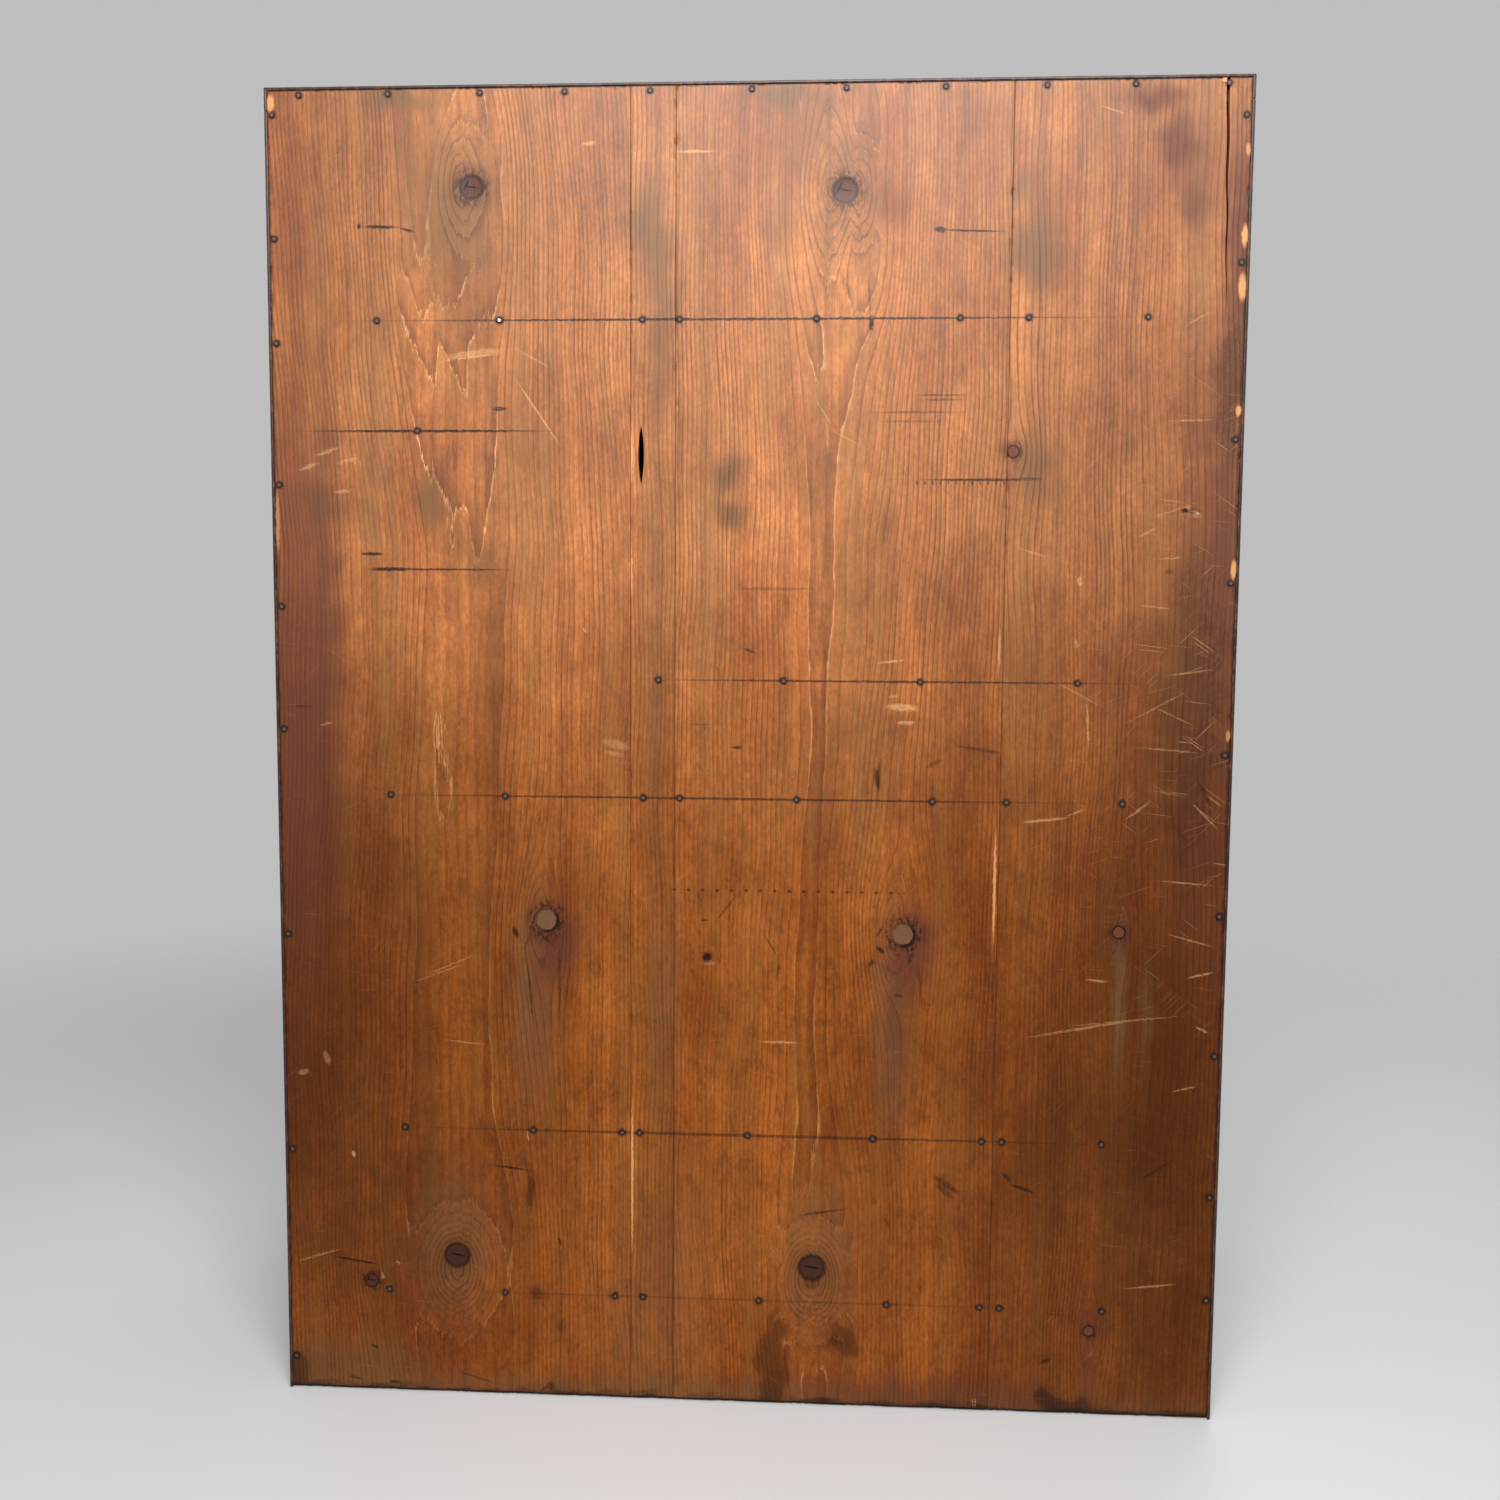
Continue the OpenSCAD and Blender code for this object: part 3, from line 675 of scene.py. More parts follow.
# Strokes are (start, end, width, strength). These are the carpenter's lines and the dark marks.
DARK_STROKES = [
    ((352, 873), (-338, 873), 1.7, 0.9),
    ((370, 788), (136, 788), 1.7, 0.95),
    ((308, 680), (176, 680), 1.4, 0.8),
    ((306, 680), (262, 680), 2.6, 0.95),
    ((311, 692), (286, 692), 2.2, 0.9),
    ((112, 594), (-342, 594), 1.5, 0.8),
    ((344, 500), (-324, 500), 1.6, 0.75),
    ((316, 226), (-332, 226), 2.2, 0.6),
    ((300, 88), (-300, 88), 1.6, 0.3),
    ((306, 945), (270, 944), 2.2, 0.95),
    ((274, 944), (260, 940), 1.8, 0.85),
    ((303, 945), (307, 945), 4.0, 0.95),
    ((-140, 939), (-200, 937), 1.5, 0.9),
    ((-140, 939.5), (-152, 938.5), 3.6, 0.9),
    ((368, 570.5), (346, 570.5), 1.2, 0.7),
    ((-124, 750.5), (-233, 750.5), 1.7, 0.85),
    ((-198, 751), (-232, 751.5), 1.8, 0.6),
    ((-124, 815), (-172, 815), 1.6, 0.5),
    ((-128, 811.5), (-170, 811.5), 1.4, 0.5),
    ((-84, 802), (-176, 802), 1.4, 0.45),
    ((-96, 795), (-152, 795), 1.6, 0.35),
    ((203, 805), (188, 805), 3.0, 0.8),
    ((-149, 199), (-178, 180), 4.5, 0.6),
    ((-153, 192), (-172, 176), 4.0, 0.5),
    ((-212, 192), (-237, 184), 2.6, 0.8),
    ((-206, 203), (-216, 192), 3.0, 0.6),
    ((343, 115), (298, 108), 1.8, 0.9),
    ((208, 196), (173, 192), 1.6, 0.85),
    ((222, 4), (190, 1.5), 2.0, 0.6),
    ((156, 12), (168, 4), 2.4, 0.6),
    ((-94, 878), (-94, 861), 3.4, 0.95),
    ((-92, 905), (-93, 872), 1.6, 0.5),
    ((-160, 545), (-206, 538), 2.4, 0.5),
    ((-140, 526), (-156, 534), 3.0, 0.5),
    ((-102, 529), (-105, 506), 3.4, 0.7),
    ((5, 620), (-9, 615), 1.8, 0.7),
    ((14, 541), (2, 541), 2.0, 0.8),
    ((48, 559), (26, 559), 1.2, 0.4),
    ((18, 666), (-60, 666), 2.4, 0.35),
    ((188, 395), (183, 384), 3.4, 0.85),
    ((178, 384), (170, 300), 1.3, 0.6),
    ((168, 390), (152, 377), 1.4, 0.6),
    ((172, 392), (180, 372), 1.3, 0.5),
    ((150, 392), (150, 300), 2.0, 0.45),
    ((-104, 374), (-98, 366), 3.0, 0.7),
    ((-138, 374), (-142, 330), 2.4, 0.4),
    ((-118, 344), (-128, 343), 1.5, 0.6),
    ((26, 398), (4, 427), 2.0, 0.45),
    ((36, 402), (29, 402), 1.6, 0.8),
    ((-14, 393), (-27, 372), 1.4, 0.5),
    ((-28, 372), (-25, 352), 1.8, 0.5),
    ((152, 137), (149, 128), 1.6, 0.8),
    ((-112, 165), (-120, 150), 1.6, 0.3),
    ((-42, 160), (-88, 168), 1.8, 0.6),
    ((-345, 216), (-315, 196), 2.0, 0.55),
    ((-365, 496), (-352, 520), 2.6, 0.6),
    ((-321, 680), (-330, 681), 3.0, 0.5),
    ((-222, 905), (-225, 860), 1.2, 0.3),
    ((-70, 910), (-78, 885), 3.0, 0.35),
    ((240, 20), (200, 8), 1.5, 0.5),
    ((310, 40), (302, 36), 2.5, 0.7),
    ((330, 12), (316, 9), 2.0, 0.6),
    ((296, 8), (284, 8), 2.4, 0.7),
    ((-252, 48), (-240, 42), 2.6, 0.7),
    ((-241, 84), (-262, 84), 1.4, 0.3),
    ((158, 14), (159, 4), 5.0, 0.7),
    # The next three fill the deep hollows at (30.5, 371.4) and (-336, 727.5) with dark colour: painted
    # shade inside the holes.
    ((36, 371.4), (25, 371.4), 6.4, 1.0),
    ((-332.5, 727.5), (-339.5, 727.5), 3.2, 1.0),
    ((-338, 726), (-347, 725.5), 1.6, 0.7),
    ((-196, 384), (-199, 300), 1.4, 0.35),
    ((-104, 384), (-112, 377), 3.2, 0.8),
    ((-110, 400), (-104, 390), 2.2, 0.7),
    ((-134, 380), (-130, 368), 3.0, 0.6),
]

# Chips and slivers of pale wood along the edges and joints, listed like the strokes.
CHIPS = [
    ((-374.5, 944), (-374.2, 922), 4.0, 1.0),
    ((-373.5, 908), (-373.8, 882), 5.0, 0.9),
    ((-374.5, 1002), (-374.5, 990), 3.0, 0.7),
    ((-374.0, 808), (-374.0, 797), 3.4, 0.9),
    ((-374.5, 692), (-374.5, 672), 3.4, 0.9),
    ((-374.5, 560), (-374.5, 548), 2.6, 0.6),
    ((-352, 1047), (-361, 1046.5), 2.6, 0.8),
    ((374, 1047), (373.5, 1030), 5.0, 0.8),
    ((374.5, 746), (374.5, 687), 2.6, 0.5),
    ((91.6, 792), (91.6, 745), 1.8, 0.9),
    ((91.6, 703), (91.6, 656), 1.6, 0.7),
    ((91.0, 265), (91.0, 110), 1.9, 0.9),
    ((-197.0, 490), (-197.0, 376), 1.9, 0.8),
    ((-197.0, 640), (-197.0, 600), 1.5, 0.5),
]

# Angles of the hair-thin scratches, and what sets their patterns apart.
HAIR_SCRATCHES = [(0.12, 3.0), (-0.35, 17.0), (0.62, 29.0), (-0.8, 41.0)]

# What the upper half's colour is multiplied by, a painted sheen that cools it, and the lower half's,
# painted shade that makes it darker and warmer.
UPPER_SHEEN_TINT = (0.92, 1.0, 1.14, 1.0)
LOWER_SHADE_TINT = (0.97, 0.86, 0.62, 1.0)

# Level rows of small dents are (high x, low x, z, gap, half width, half height, strength).
DENT_ROWS = [
    (60, -127, 426.5, 11.5, 1.9, 1.5, 0.75),
    (-128, -204, 748.2, 6.1, 0.9, 2.4, 0.7),
]

# Rubbed marks and scratches, listed like the strokes.
PALE_STROKES = [
    ((244, 844), (186, 851), 5.0, 0.55),
    ((244, 842), (190, 848), 1.6, 0.8),
    ((186, 833), (143, 770), 1.3, 0.75),
    ((150, 834), (186, 853), 1.3, 0.4),
    ((60, 999), (24, 999), 1.8, 0.85),
    ((50, 1001), (32, 998), 1.2, 0.6),
    ((131, 1005), (117, 1007), 2.6, 0.6),
    ((358, 757), (338, 764), 2.6, 0.55),
    ((345, 768), (322, 776), 2.2, 0.5),
    ((328, 762), (306, 768), 2.4, 0.5),
    ((330, 740), (312, 742), 2.2, 0.5),
    ((-106, 575), (-139, 573), 4.6, 0.8),
    ((-116, 562), (-135, 562), 2.4, 0.7),
    ((-110, 582), (-120, 583), 2.0, 0.5),
    ((-99, 608), (-128, 612), 1.4, 0.7),
    ((118, 546), (90, 539), 6.0, 0.35),
    ((114, 537), (96, 533), 3.0, 0.4),
    ((-9, 303.5), (-48, 304), 1.5, 0.75),
    ((131, 635), (126, 630), 1.6, 0.7),
    ((-213, 484), (-258, 489), 1.8, 0.6),
    ((-250, 489), (-268, 496), 1.4, 0.5),
    ((-296, 486), (-318, 504), 1.4, 0.45),
    ((-345, 505), (-372, 478), 1.4, 0.4),
    ((-320, 440), (-372, 436), 1.2, 0.45),
    ((-330, 398), (-372, 387), 1.2, 0.4),
    ((-268, 360), (-290, 358), 1.6, 0.5),
    ((-215, 310), (-330, 332), 1.6, 0.45),
    ((-250, 321), (-355, 333), 1.2, 0.35),
    ((-347, 362), (-372, 368), 1.6, 0.6),
    ((-356, 324), (-368, 318), 1.6, 0.6),
    ((-338, 270), (-362, 276), 1.3, 0.5),
    ((-303, 107), (-352, 113), 1.4, 0.5),
    ((-306, 720), (-350, 735), 1.1, 0.35),
    ((-318, 795), (-360, 796), 1.2, 0.45),
    ((-330, 865), (-352, 878), 1.2, 0.4),
    ((-300, 706), (-316, 715), 1.1, 0.5),
    ((-316, 690), (-338, 692), 1.1, 0.45),
    ((-300, 655), (-330, 652), 1.1, 0.4),
    ((-322, 600), (-365, 606), 1.1, 0.4),
    ((-265, 585), (-268, 540), 1.4, 0.6),
    ((-232, 600), (-284, 572), 1.1, 0.3),
    ((-300, 545), (-360, 540), 1.1, 0.35),
    ((-290, 560), (-345, 590), 1.1, 0.3),
    ((-313, 578), (-352, 560), 1.1, 0.3),
    ((-205, 700), (-236, 690), 1.2, 0.4),
    ((-257, 678), (-258, 668), 3.0, 0.7),
    ((-255, 630), (-257, 620), 2.6, 0.4),
    ((344, 555), (332, 558), 1.8, 0.45),
    ((345, 290), (340, 275), 4.0, 0.35),
    ((368, 268), (356, 272), 4.0, 0.4),
    ((250, 300), (206, 296), 1.2, 0.4),
    ((262, 352), (215, 372), 1.2, 0.35),
    ((275, 345), (222, 365), 1.2, 0.3),
    ((322, 205), (321, 199), 2.6, 0.9),
    ((375, 108), (330, 122), 1.6, 0.35),
    ((-262, 1030), (-285, 1022), 1.2, 0.5),
    ((-190.2, 12), (-190.4, 2), 1.0, 0.8),
    ((-188, 12), (-188.4, 2), 0.8, 0.7),
    ((299, 103), (298.6, 95), 2.0, 0.8),
    ((288, 112), (283, 109), 2.0, 0.5),
    ((177, 226), (176, 215), 1.3, 0.7),
    ((-60, 800), (-62, 770), 1.1, 0.5),
    ((-62, 790), (-90, 775), 1.0, 0.45),
    ((-50, 815), (-66, 790), 1.1, 0.4),
    ((-340, 727), (-349, 724.5), 1.6, 0.9),
    ((-334, 729), (-341, 729.5), 1.2, 0.8),
]


def inside(board, *places):
    """True if the span of the places crosses the board."""
    low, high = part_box(board)
    spots = [place[0] for place in places]
    return min(spots) < high.x / MM and max(spots) > low.x / MM


class Cedar:
    """One board's node graph, with the noises and masks that the layers of its look share."""

    def __init__(self, board, seed):
        g = Graph("cedar_" + board)
        self.g = g
        self.board = board
        self.shift = (seed * 131.0, 0.0, seed * 57.0)
        self.slow = self.noise((34, 34, 150), 3)
        self.fine = self.noise((1.1, 1.1, 22), 3, 0.6)
        self.fibre = self.noise((0.45, 0.45, 14), 2, 0.6)
        self.find_rings(seed)
        self.streak = self.noise((4.5, 4.5, 420), 3, 0.6)
        self.band = self.noise((19, 19, 900), 2)
        self.blotch = self.noise((70, 70, 130), 4, 0.6)
        self.speck = self.noise((2.6, 2.6, 4.5), 4, 0.7)
        self.shaken = self.noise((3.0, 3.0, 3.0), 3)
        self.low_half = 1 - g.step(g.z, 300.0, 720.0)

    def noise(self, size, detail, roughness=0.5, aside=0.0):
        """The board's own noise, so that no two boards look the same."""
        x, y, z = self.shift
        return self.g.noise(size, detail=detail, roughness=roughness, shift=(x + aside, y, z))

    def find_rings(self, seed):
        """Masks of the late wood and of the pale line that follows it in each growth ring."""
        g = self.g
        spacing = g.attribute("spacing")
        teeth = self.noise((2.4, 2.4, 46), 3, 0.7) - 0.5
        ring = g.attribute("ring") + self.slow * 1.2 + self.fine * 0.2
        ring = ring + teeth * g.attribute("hang") * 2.2
        share = g.math("FRACT", ring)
        self.tone = g.chance(g.math("FLOOR", ring))
        group = g.noise((1.0, 1.0, 1.0), detail=2, point=g.join(ring * 0.23, seed * 7.0, g.z * 0.002))
        before = (1 - share) * spacing
        after = share * spacing
        self.upper = g.step(g.z, 400.0, 800.0)
        self.wide = g.step(spacing, 6.0, 22.0)
        late = (1 - g.step(before, 0.4, 2.2 + self.wide * 12.0)) * g.step(before, 0.0, 0.4)
        depth = 0.16 + self.tone * 0.42 + g.step(group, 0.4, 0.62) * 0.32
        depth = depth * (0.85 + self.upper * 0.45) * (1 - self.wide * 0.3)
        self.late = late * g.either(depth, g.attribute("eye") * 0.85)
        self.pale_line = 1 - g.step(after, 0.3, 1.5)


def fresh_wood(cedar):
    """The colour of the growth rings, streaked along the grain, with patches of rubbing that on the
    upper half also paint in a sheen's glints.
    """
    g = cedar.g
    early_wood = g.mix(g.step(cedar.blotch, 0.3, 0.7), rgb(148, 80, 30), rgb(188, 112, 52))
    late_wood = g.mix(cedar.tone, rgb(92, 43, 16), rgb(128, 64, 26))
    colour = g.mix(cedar.late, early_wood, late_wood)
    colour = g.mix(cedar.pale_line * (0.06 + cedar.wide * 0.85), colour, rgb(230, 164, 102))
    ghost = g.math("FRACT", (g.x + cedar.slow * 24 + cedar.streak * 9) / 8.6)
    ghost = g.step(ghost, 0.45, 0.9) * (1 - g.step(ghost, 0.93, 1.0)) * cedar.wide
    colour = g.mix(ghost * 0.3, colour, late_wood)
    lengthwise = (cedar.streak - 0.5) * 0.6 + (cedar.band - 0.5) * 0.5
    lengthwise = lengthwise * (0.9 + cedar.upper * 0.5)
    fuzz = (cedar.fine - 0.5) * 0.6 + (cedar.fibre - 0.5) * 0.65
    colour = g.bright(colour, 0.83 + lengthwise + fuzz)
    mottled = (cedar.speck - 0.5) * g.attribute("eye") * 1.3
    colour = g.bright(colour, 0.78 + g.step(cedar.speck, 0.25, 0.75) * 0.38 + mottled)
    # Patches of rubbing; on the upper half they are stronger, painted glints of the sheen.
    rubbed_and_glints = cedar.noise((16, 16, 34), 5, 0.65, aside=40)
    return g.bright(colour, 0.9 + (rubbed_and_glints - 0.5) * (0.6 + cedar.upper * 0.35))


def aged(cedar, colour):
    """Shifts the hue in long streaks, paints a sheen on the upper half and a brighter band above the
    middle, paints shade mixed with grime on the lower half, the foot and the sides, and adds dirt.
    """
    g = cedar.g
    hue = cedar.noise((26, 26, 300), 4, 0.6, aside=70)
    olive = g.bright(rgb(140, 96, 50), 0.8 + cedar.streak * 0.2)
    colour = g.mix(g.step(hue, 0.5, 0.72) * 0.4, colour, olive)
    colour = g.mix(1 - g.step(hue, 0.28, 0.5), colour, rgb(255, 242, 234), blend="MULTIPLY")
    # Painted sheen: the upper half is turned a little towards pale pink and cooled.
    colour = g.mix(cedar.upper * 0.1, colour, rgb(176, 130, 104))
    colour = g.mix(cedar.upper, colour, UPPER_SHEEN_TINT, blend="MULTIPLY")

    # Painted shade mixed with grime: grime below darkens and browns the lower half, both sides and the
    # right side below the top, where less lamp light falls.
    foot = 1 - g.step(g.z, 30.0, 210.0)
    side = g.step(g.math("ABSOLUTE", g.x), 90.0, 372.0)
    right = g.step(g.x * -1, 0.0, 300.0) * (1 - g.step(g.z, 720.0, 900.0)) * 0.14
    grime = cedar.low_half * (0.2 + side * 0.34) * (1 - foot * 0.4) + side * 0.12 + right
    # Painted light: lit brightens a band from about 490 to 1040 mm high.
    lit = g.step(g.z, 490.0, 690.0) * (1 - g.step(g.z, 860.0, 1040.0))
    colour = g.bright(colour, 1.16 - grime + lit * 0.2)
    colour = g.mix(grime * 0.75, colour, g.mix(0.5, colour, rgb(90, 42, 5)))
    # Painted shade: the lower half is made darker and warmer.
    colour = g.mix(cedar.low_half, colour, LOWER_SHADE_TINT, blend="MULTIPLY")
    dirt = g.noise((13, 13, 20), detail=5, roughness=0.72, shift=(cedar.shift[0] + 9, 3, 8))
    dirt = g.step(dirt, 0.5, 0.64)
    return g.mix(dirt * (0.12 + cedar.low_half * 0.2), colour, rgb(70, 36, 16))


def stained(cedar, colour, purple):
    """The stains, whose strengths are kept at the corners of the mesh."""
    g = cedar.g
    uneven = 0.6 + cedar.speck * 0.8
    pale = g.attribute("pale") * uneven
    colour = g.mix(pale * 0.7, colour, g.bright(colour, 1.4))
    grey = g.attribute("grey") * uneven
    colour = g.mix(grey * 0.9, colour, g.mix(cedar.late, rgb(112, 80, 50), rgb(74, 50, 33)))
    colour = g.mix(purple * 0.9, colour, g.mix(cedar.late, rgb(92, 46, 34), rgb(60, 30, 24)))
    dark = g.attribute("dark") * uneven
    return g.bright(colour, 1 - dark * 0.4 - g.step(dark, 0.4, 0.52) * 0.25)


def stroke_mask(cedar, strokes, place):
    """The strokes that cross the board, or None if none does."""
    mask = None
    for start, end, width, strength in strokes:
        if inside(cedar.board, start, end):
            mask = cedar.g.either(mask, cedar.g.stroke(start, end, width, place) * strength)
    return mask


def dent_mask(cedar, mask):
    """The mask with the rows of dents that cross the board."""
    for high_x, low_x, z, gap, half_width, half_height, strength in DENT_ROWS:
        if inside(cedar.board, (high_x, z), (low_x, z)):
            row = cedar.g.dents(high_x, low_x, z, gap, half_width, half_height)
            mask = cedar.g.either(mask, row * strength)
    return mask


def scattered(cedar, colour):
    """Dark flecks, pale swipes across the grain and hair-thin scratches, more of them on the right."""
    g = cedar.g
    fleck = g.step(cedar.noise((0.8, 0.8, 7.0), 2, 0.6), 0.66, 0.74)
    fleck = fleck * g.step(cedar.noise((30, 30, 60), 2), 0.42, 0.6)
    colour = g.mix(fleck * 0.45, colour, rgb(70, 34, 16))
    swipe = g.step(cedar.noise((26, 26, 0.9), 3, 0.6), 0.66, 0.76)
    swipe = swipe * g.step(g.noise((45, 45, 30), detail=2, shift=(7, 3, 1)), 0.48, 0.66)
    colour = g.mix(swipe * 0.22, colour, rgb(206, 150, 100))
    worn = g.step(g.x * -1, 240.0, 330.0) * g.step(g.z, 280.0, 420.0)
    worn = worn * (1 - g.step(g.z, 780.0, 880.0))
    hair = None
    for turn, shift in HAIR_SCRATCHES:
        hair = g.either(hair, g.scratches(turn, shift))
    return g.mix(hair * (0.08 + worn * 0.34), colour, rgb(216, 160, 108))


def nail_halos(cedar, colour):
    """Dark iron stain round each nail."""
    g = cedar.g
    low, high = (corner.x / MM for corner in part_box(cedar.board))
    near = [(x, z) for x, z in NAILS if low - 8 < x < high + 8]
    halo = g.nearest(near) + (cedar.shaken - 0.5) * 3.0
    return g.mix((1 - g.step(halo, 1.9, 4.6)) * 0.85, colour, rgb(24, 17, 18))


def dark_joints_and_edge_shade(cedar, colour):
    """Darkens the joints between boards, and paints shadow along the foot, sides and top of the whole
    back.
    """
    g = cedar.g
    low, high = (corner.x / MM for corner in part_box(cedar.board))
    edge = g.math("MINIMUM", g.x - low, high - g.x)
    colour = g.mix((1 - g.step(edge, 0.0, 0.9)) * 0.4, colour, rgb(60, 32, 16))
    edge_wobble = g.noise((34, 34, 9), detail=4, roughness=0.7, shift=(4, 4, 4)) - 0.5
    # Painted shadow: dark bands along the foot of the boards above the floor, along their outer sides
    # and along their top, beside the case.
    foot = 1 - g.step(g.z - edge_wobble * 30, 0.0, 9.0)
    side = 1 - g.step(376.5 - g.math("ABSOLUTE", g.x) - edge_wobble * 6, 0.0, 3.0)
    top = 1 - g.step(1048.5 - g.z, 0.2, 1.8)
    return g.mix(g.either(g.either(foot * 0.75, side * 0.6), top), colour, rgb(34, 19, 14))


def cedar_material(board, seed):
    """Aged cedar: growth rings, stains, carpenter's lines, scratches, knots and nail halos."""
    cedar = Cedar(board, seed)
    g = cedar.g
    purple = g.attribute("purple") * (0.6 + cedar.speck * 0.8)
    colour = stained(cedar, aged(cedar, fresh_wood(cedar)), purple)

    tremble = cedar.shaken - 0.5
    place = g.vector("ADD", g.point, g.join(tremble * 2.4, 0.0, tremble * 1.6))
    break_up = g.step(g.noise((3.0, 3.0, 1.2), detail=3, shift=(9, 4, 2)), 0.32, 0.5)
    ink = dent_mask(cedar, stroke_mask(cedar, DARK_STROKES, place))
    colour = scattered(cedar, colour)
    scrape = stroke_mask(cedar, PALE_STROKES, place)
    if scrape is not None:
        colour = g.mix(scrape * break_up * 0.6, colour, rgb(222, 170, 116))
    if ink is not None:
        colour = g.mix(ink * (0.6 + break_up * 0.4), colour, rgb(34, 18, 13))
    colour = nail_halos(cedar, colour)
    for knot in KNOTS[board]:
        colour = knot_colours(cedar, knot, colour)
    colour = dark_joints_and_edge_shade(cedar, colour)
    for start, end, width, strength in CHIPS:
        if inside(board, start, end):
            chip = g.stroke(start, end, width, place) * strength
            colour = g.mix(chip * 0.8, colour, rgb(224, 160, 100))

    g.feed(g.shader.inputs["Specular IOR Level"], 0.3 - cedar.low_half * 0.2)
    roughness = 0.38 + cedar.speck * 0.12 - cedar.late * 0.05 + purple * 0.06
    height = cedar.fibre * 0.05 + cedar.late * 0.07 - cedar.fine * 0.05 + cedar.slow * 0.5
    if scrape is not None:
        height = height - scrape * 0.06
    return g.finish(colour, roughness, height, bump=0.8)


# Each kind is (light ring, dark ring, rim, then the strengths of rim, splashes and crack).
KNOT_COLOURS = {
    "dark": (rgb(74, 44, 32), rgb(44, 24, 18), rgb(28, 15, 12), 0.8, 0.3, 0.9),
    "brown": (rgb(92, 50, 32), rgb(56, 29, 21), rgb(36, 19, 14), 0.9, 0.75, 1.0),
    "tan": (rgb(124, 90, 62), rgb(94, 64, 44), rgb(24, 13, 12), 1.0, 0.9, 0.0),
    "ring": (rgb(118, 68, 44), rgb(84, 46, 32), rgb(24, 13, 10), 0.9, 0.6, 0.0),
}


def knot_colours(cedar, knot, colour):
    """Paints the knot's own face, with its dark rim, its rings and a crack across it."""
    g = cedar.g
    speck = cedar.speck
    light, deep, rim_colour, rim_strength, splash_strength, crack_strength = KNOT_COLOURS[knot.kind]
    size = knot.radius
    away = g.nearest([(knot.x, knot.z)]) + (speck - 0.5) * size * 0.4
    face = 1 - g.step(away, size * 0.92, size * 1.05)
    rim = g.step(away, size * 0.78, size * 0.98) * (1 - g.step(away, size, size * 1.3))
    rings = g.math("FRACT", away * 0.55 + speck * 0.5)
    colour = g.mix(face * 0.92, colour, g.mix(rings, light, deep))
    if knot.kind == "tan":
        lean = g.step((knot.x - g.x) * 0.8 + (knot.z - g.z) * 0.5, size * -0.3, size * 0.6)
        rim = rim * (0.3 + lean * 0.7)
    colour = g.mix(rim * rim_strength, colour, rim_colour)
    splash = g.step(away, size * 1.0, size * 1.15) * (1 - g.step(away, size * 1.3, size * 2.4))
    splash = splash * g.step(speck, 0.44, 0.56)
    colour = g.mix(splash * splash_strength, colour, rgb(44, 21, 15))
    if crack_strength == 0:
        return colour
    reach = size * 0.85
    left = (knot.x - reach, knot.z - reach * 0.15)
    right = (knot.x + reach, knot.z + reach * 0.2)
    crack = g.stroke(left, right, size * 0.16)
    if knot.kind == "brown":
        top = (knot.x + reach * 0.2, knot.z + reach)
        foot = (knot.x + reach, knot.z - reach * 0.5)
        crack = g.either(crack, g.stroke(top, foot, size * 0.2))
    return g.mix(crack * crack_strength, colour, rgb(18, 10, 10))


# ---------------------------------------------------------------- plain planks


def plank_rings(g, node, along, ring=5.0, heart=60.0, sway=1.0):
    """Ring number of a plank whose grain runs along one axis, and the shift of its noises.

    The heart of the log lies under the plank's thin side."""
    low, high = (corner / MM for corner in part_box(node))
    luck = random.Random(node)
    middle = (low + high) / 2
    size = high - low
    cross = [axis for axis in range(3) if axis != "xyz".index(along)]
    thin = min(cross, key=lambda axis: size[axis])
    wide = cross[0] if cross[1] == thin else cross[1]
    values = [g.x, g.y, g.z]
    stretch = [26.0, 26.0, 26.0]
    stretch["xyz".index(along)] = 240.0
    shift = [luck.uniform(-900, 900) for _ in range(3)]
    warp = g.noise(stretch, detail=3, roughness=0.45, shift=shift)
    lean = luck.uniform(-0.03, 0.03)
    aside = values[wide] - middle[wide] - luck.uniform(-0.2, 0.2) * size[wide]
    aside = aside + (values["xyz".index(along)] - middle["xyz".index(along)]) * lean
    below = values[thin] - middle[thin] + heart
    distance = g.math("SQRT", aside * aside + below * below)
    return distance / ring + warp * 2.6 * sway, shift


def wood(g, node, along, ring=5.0, heart=60.0, sway=1.0):
    """The parts of a wood pattern: late wood, ring tone, fibres and slow blotches."""
    number, shift = plank_rings(g, node, along, ring, heart, sway)
    axis = "xyz".index(along)
    thin_size = [0.5, 0.5, 0.5]
    thin_size[axis] = 16.0
    long_size = [45.0, 45.0, 45.0]
    long_size[axis] = 140.0
    fibre = g.noise(thin_size, detail=3, roughness=0.6, shift=shift)
    number = number + fibre * 0.16
    share = g.math("FRACT", number)
    late = g.step(share, 0.3, 0.92) * (1 - g.step(share, 0.94, 1.0))
    tone = g.chance(g.math("FLOOR", number))
    blotch = g.noise(long_size, detail=4, roughness=0.6, shift=shift)
    return late, tone, fibre, blotch


def arris(g):
    """1 on rounded edges, whose normals point along no axis."""
    parts = [g.math("ABSOLUTE", part) for part in g.split(g.normal)]
    biggest = g.either(g.either(parts[0], parts[1]), parts[2])
    return 1 - g.step(biggest, 0.90, 0.995)


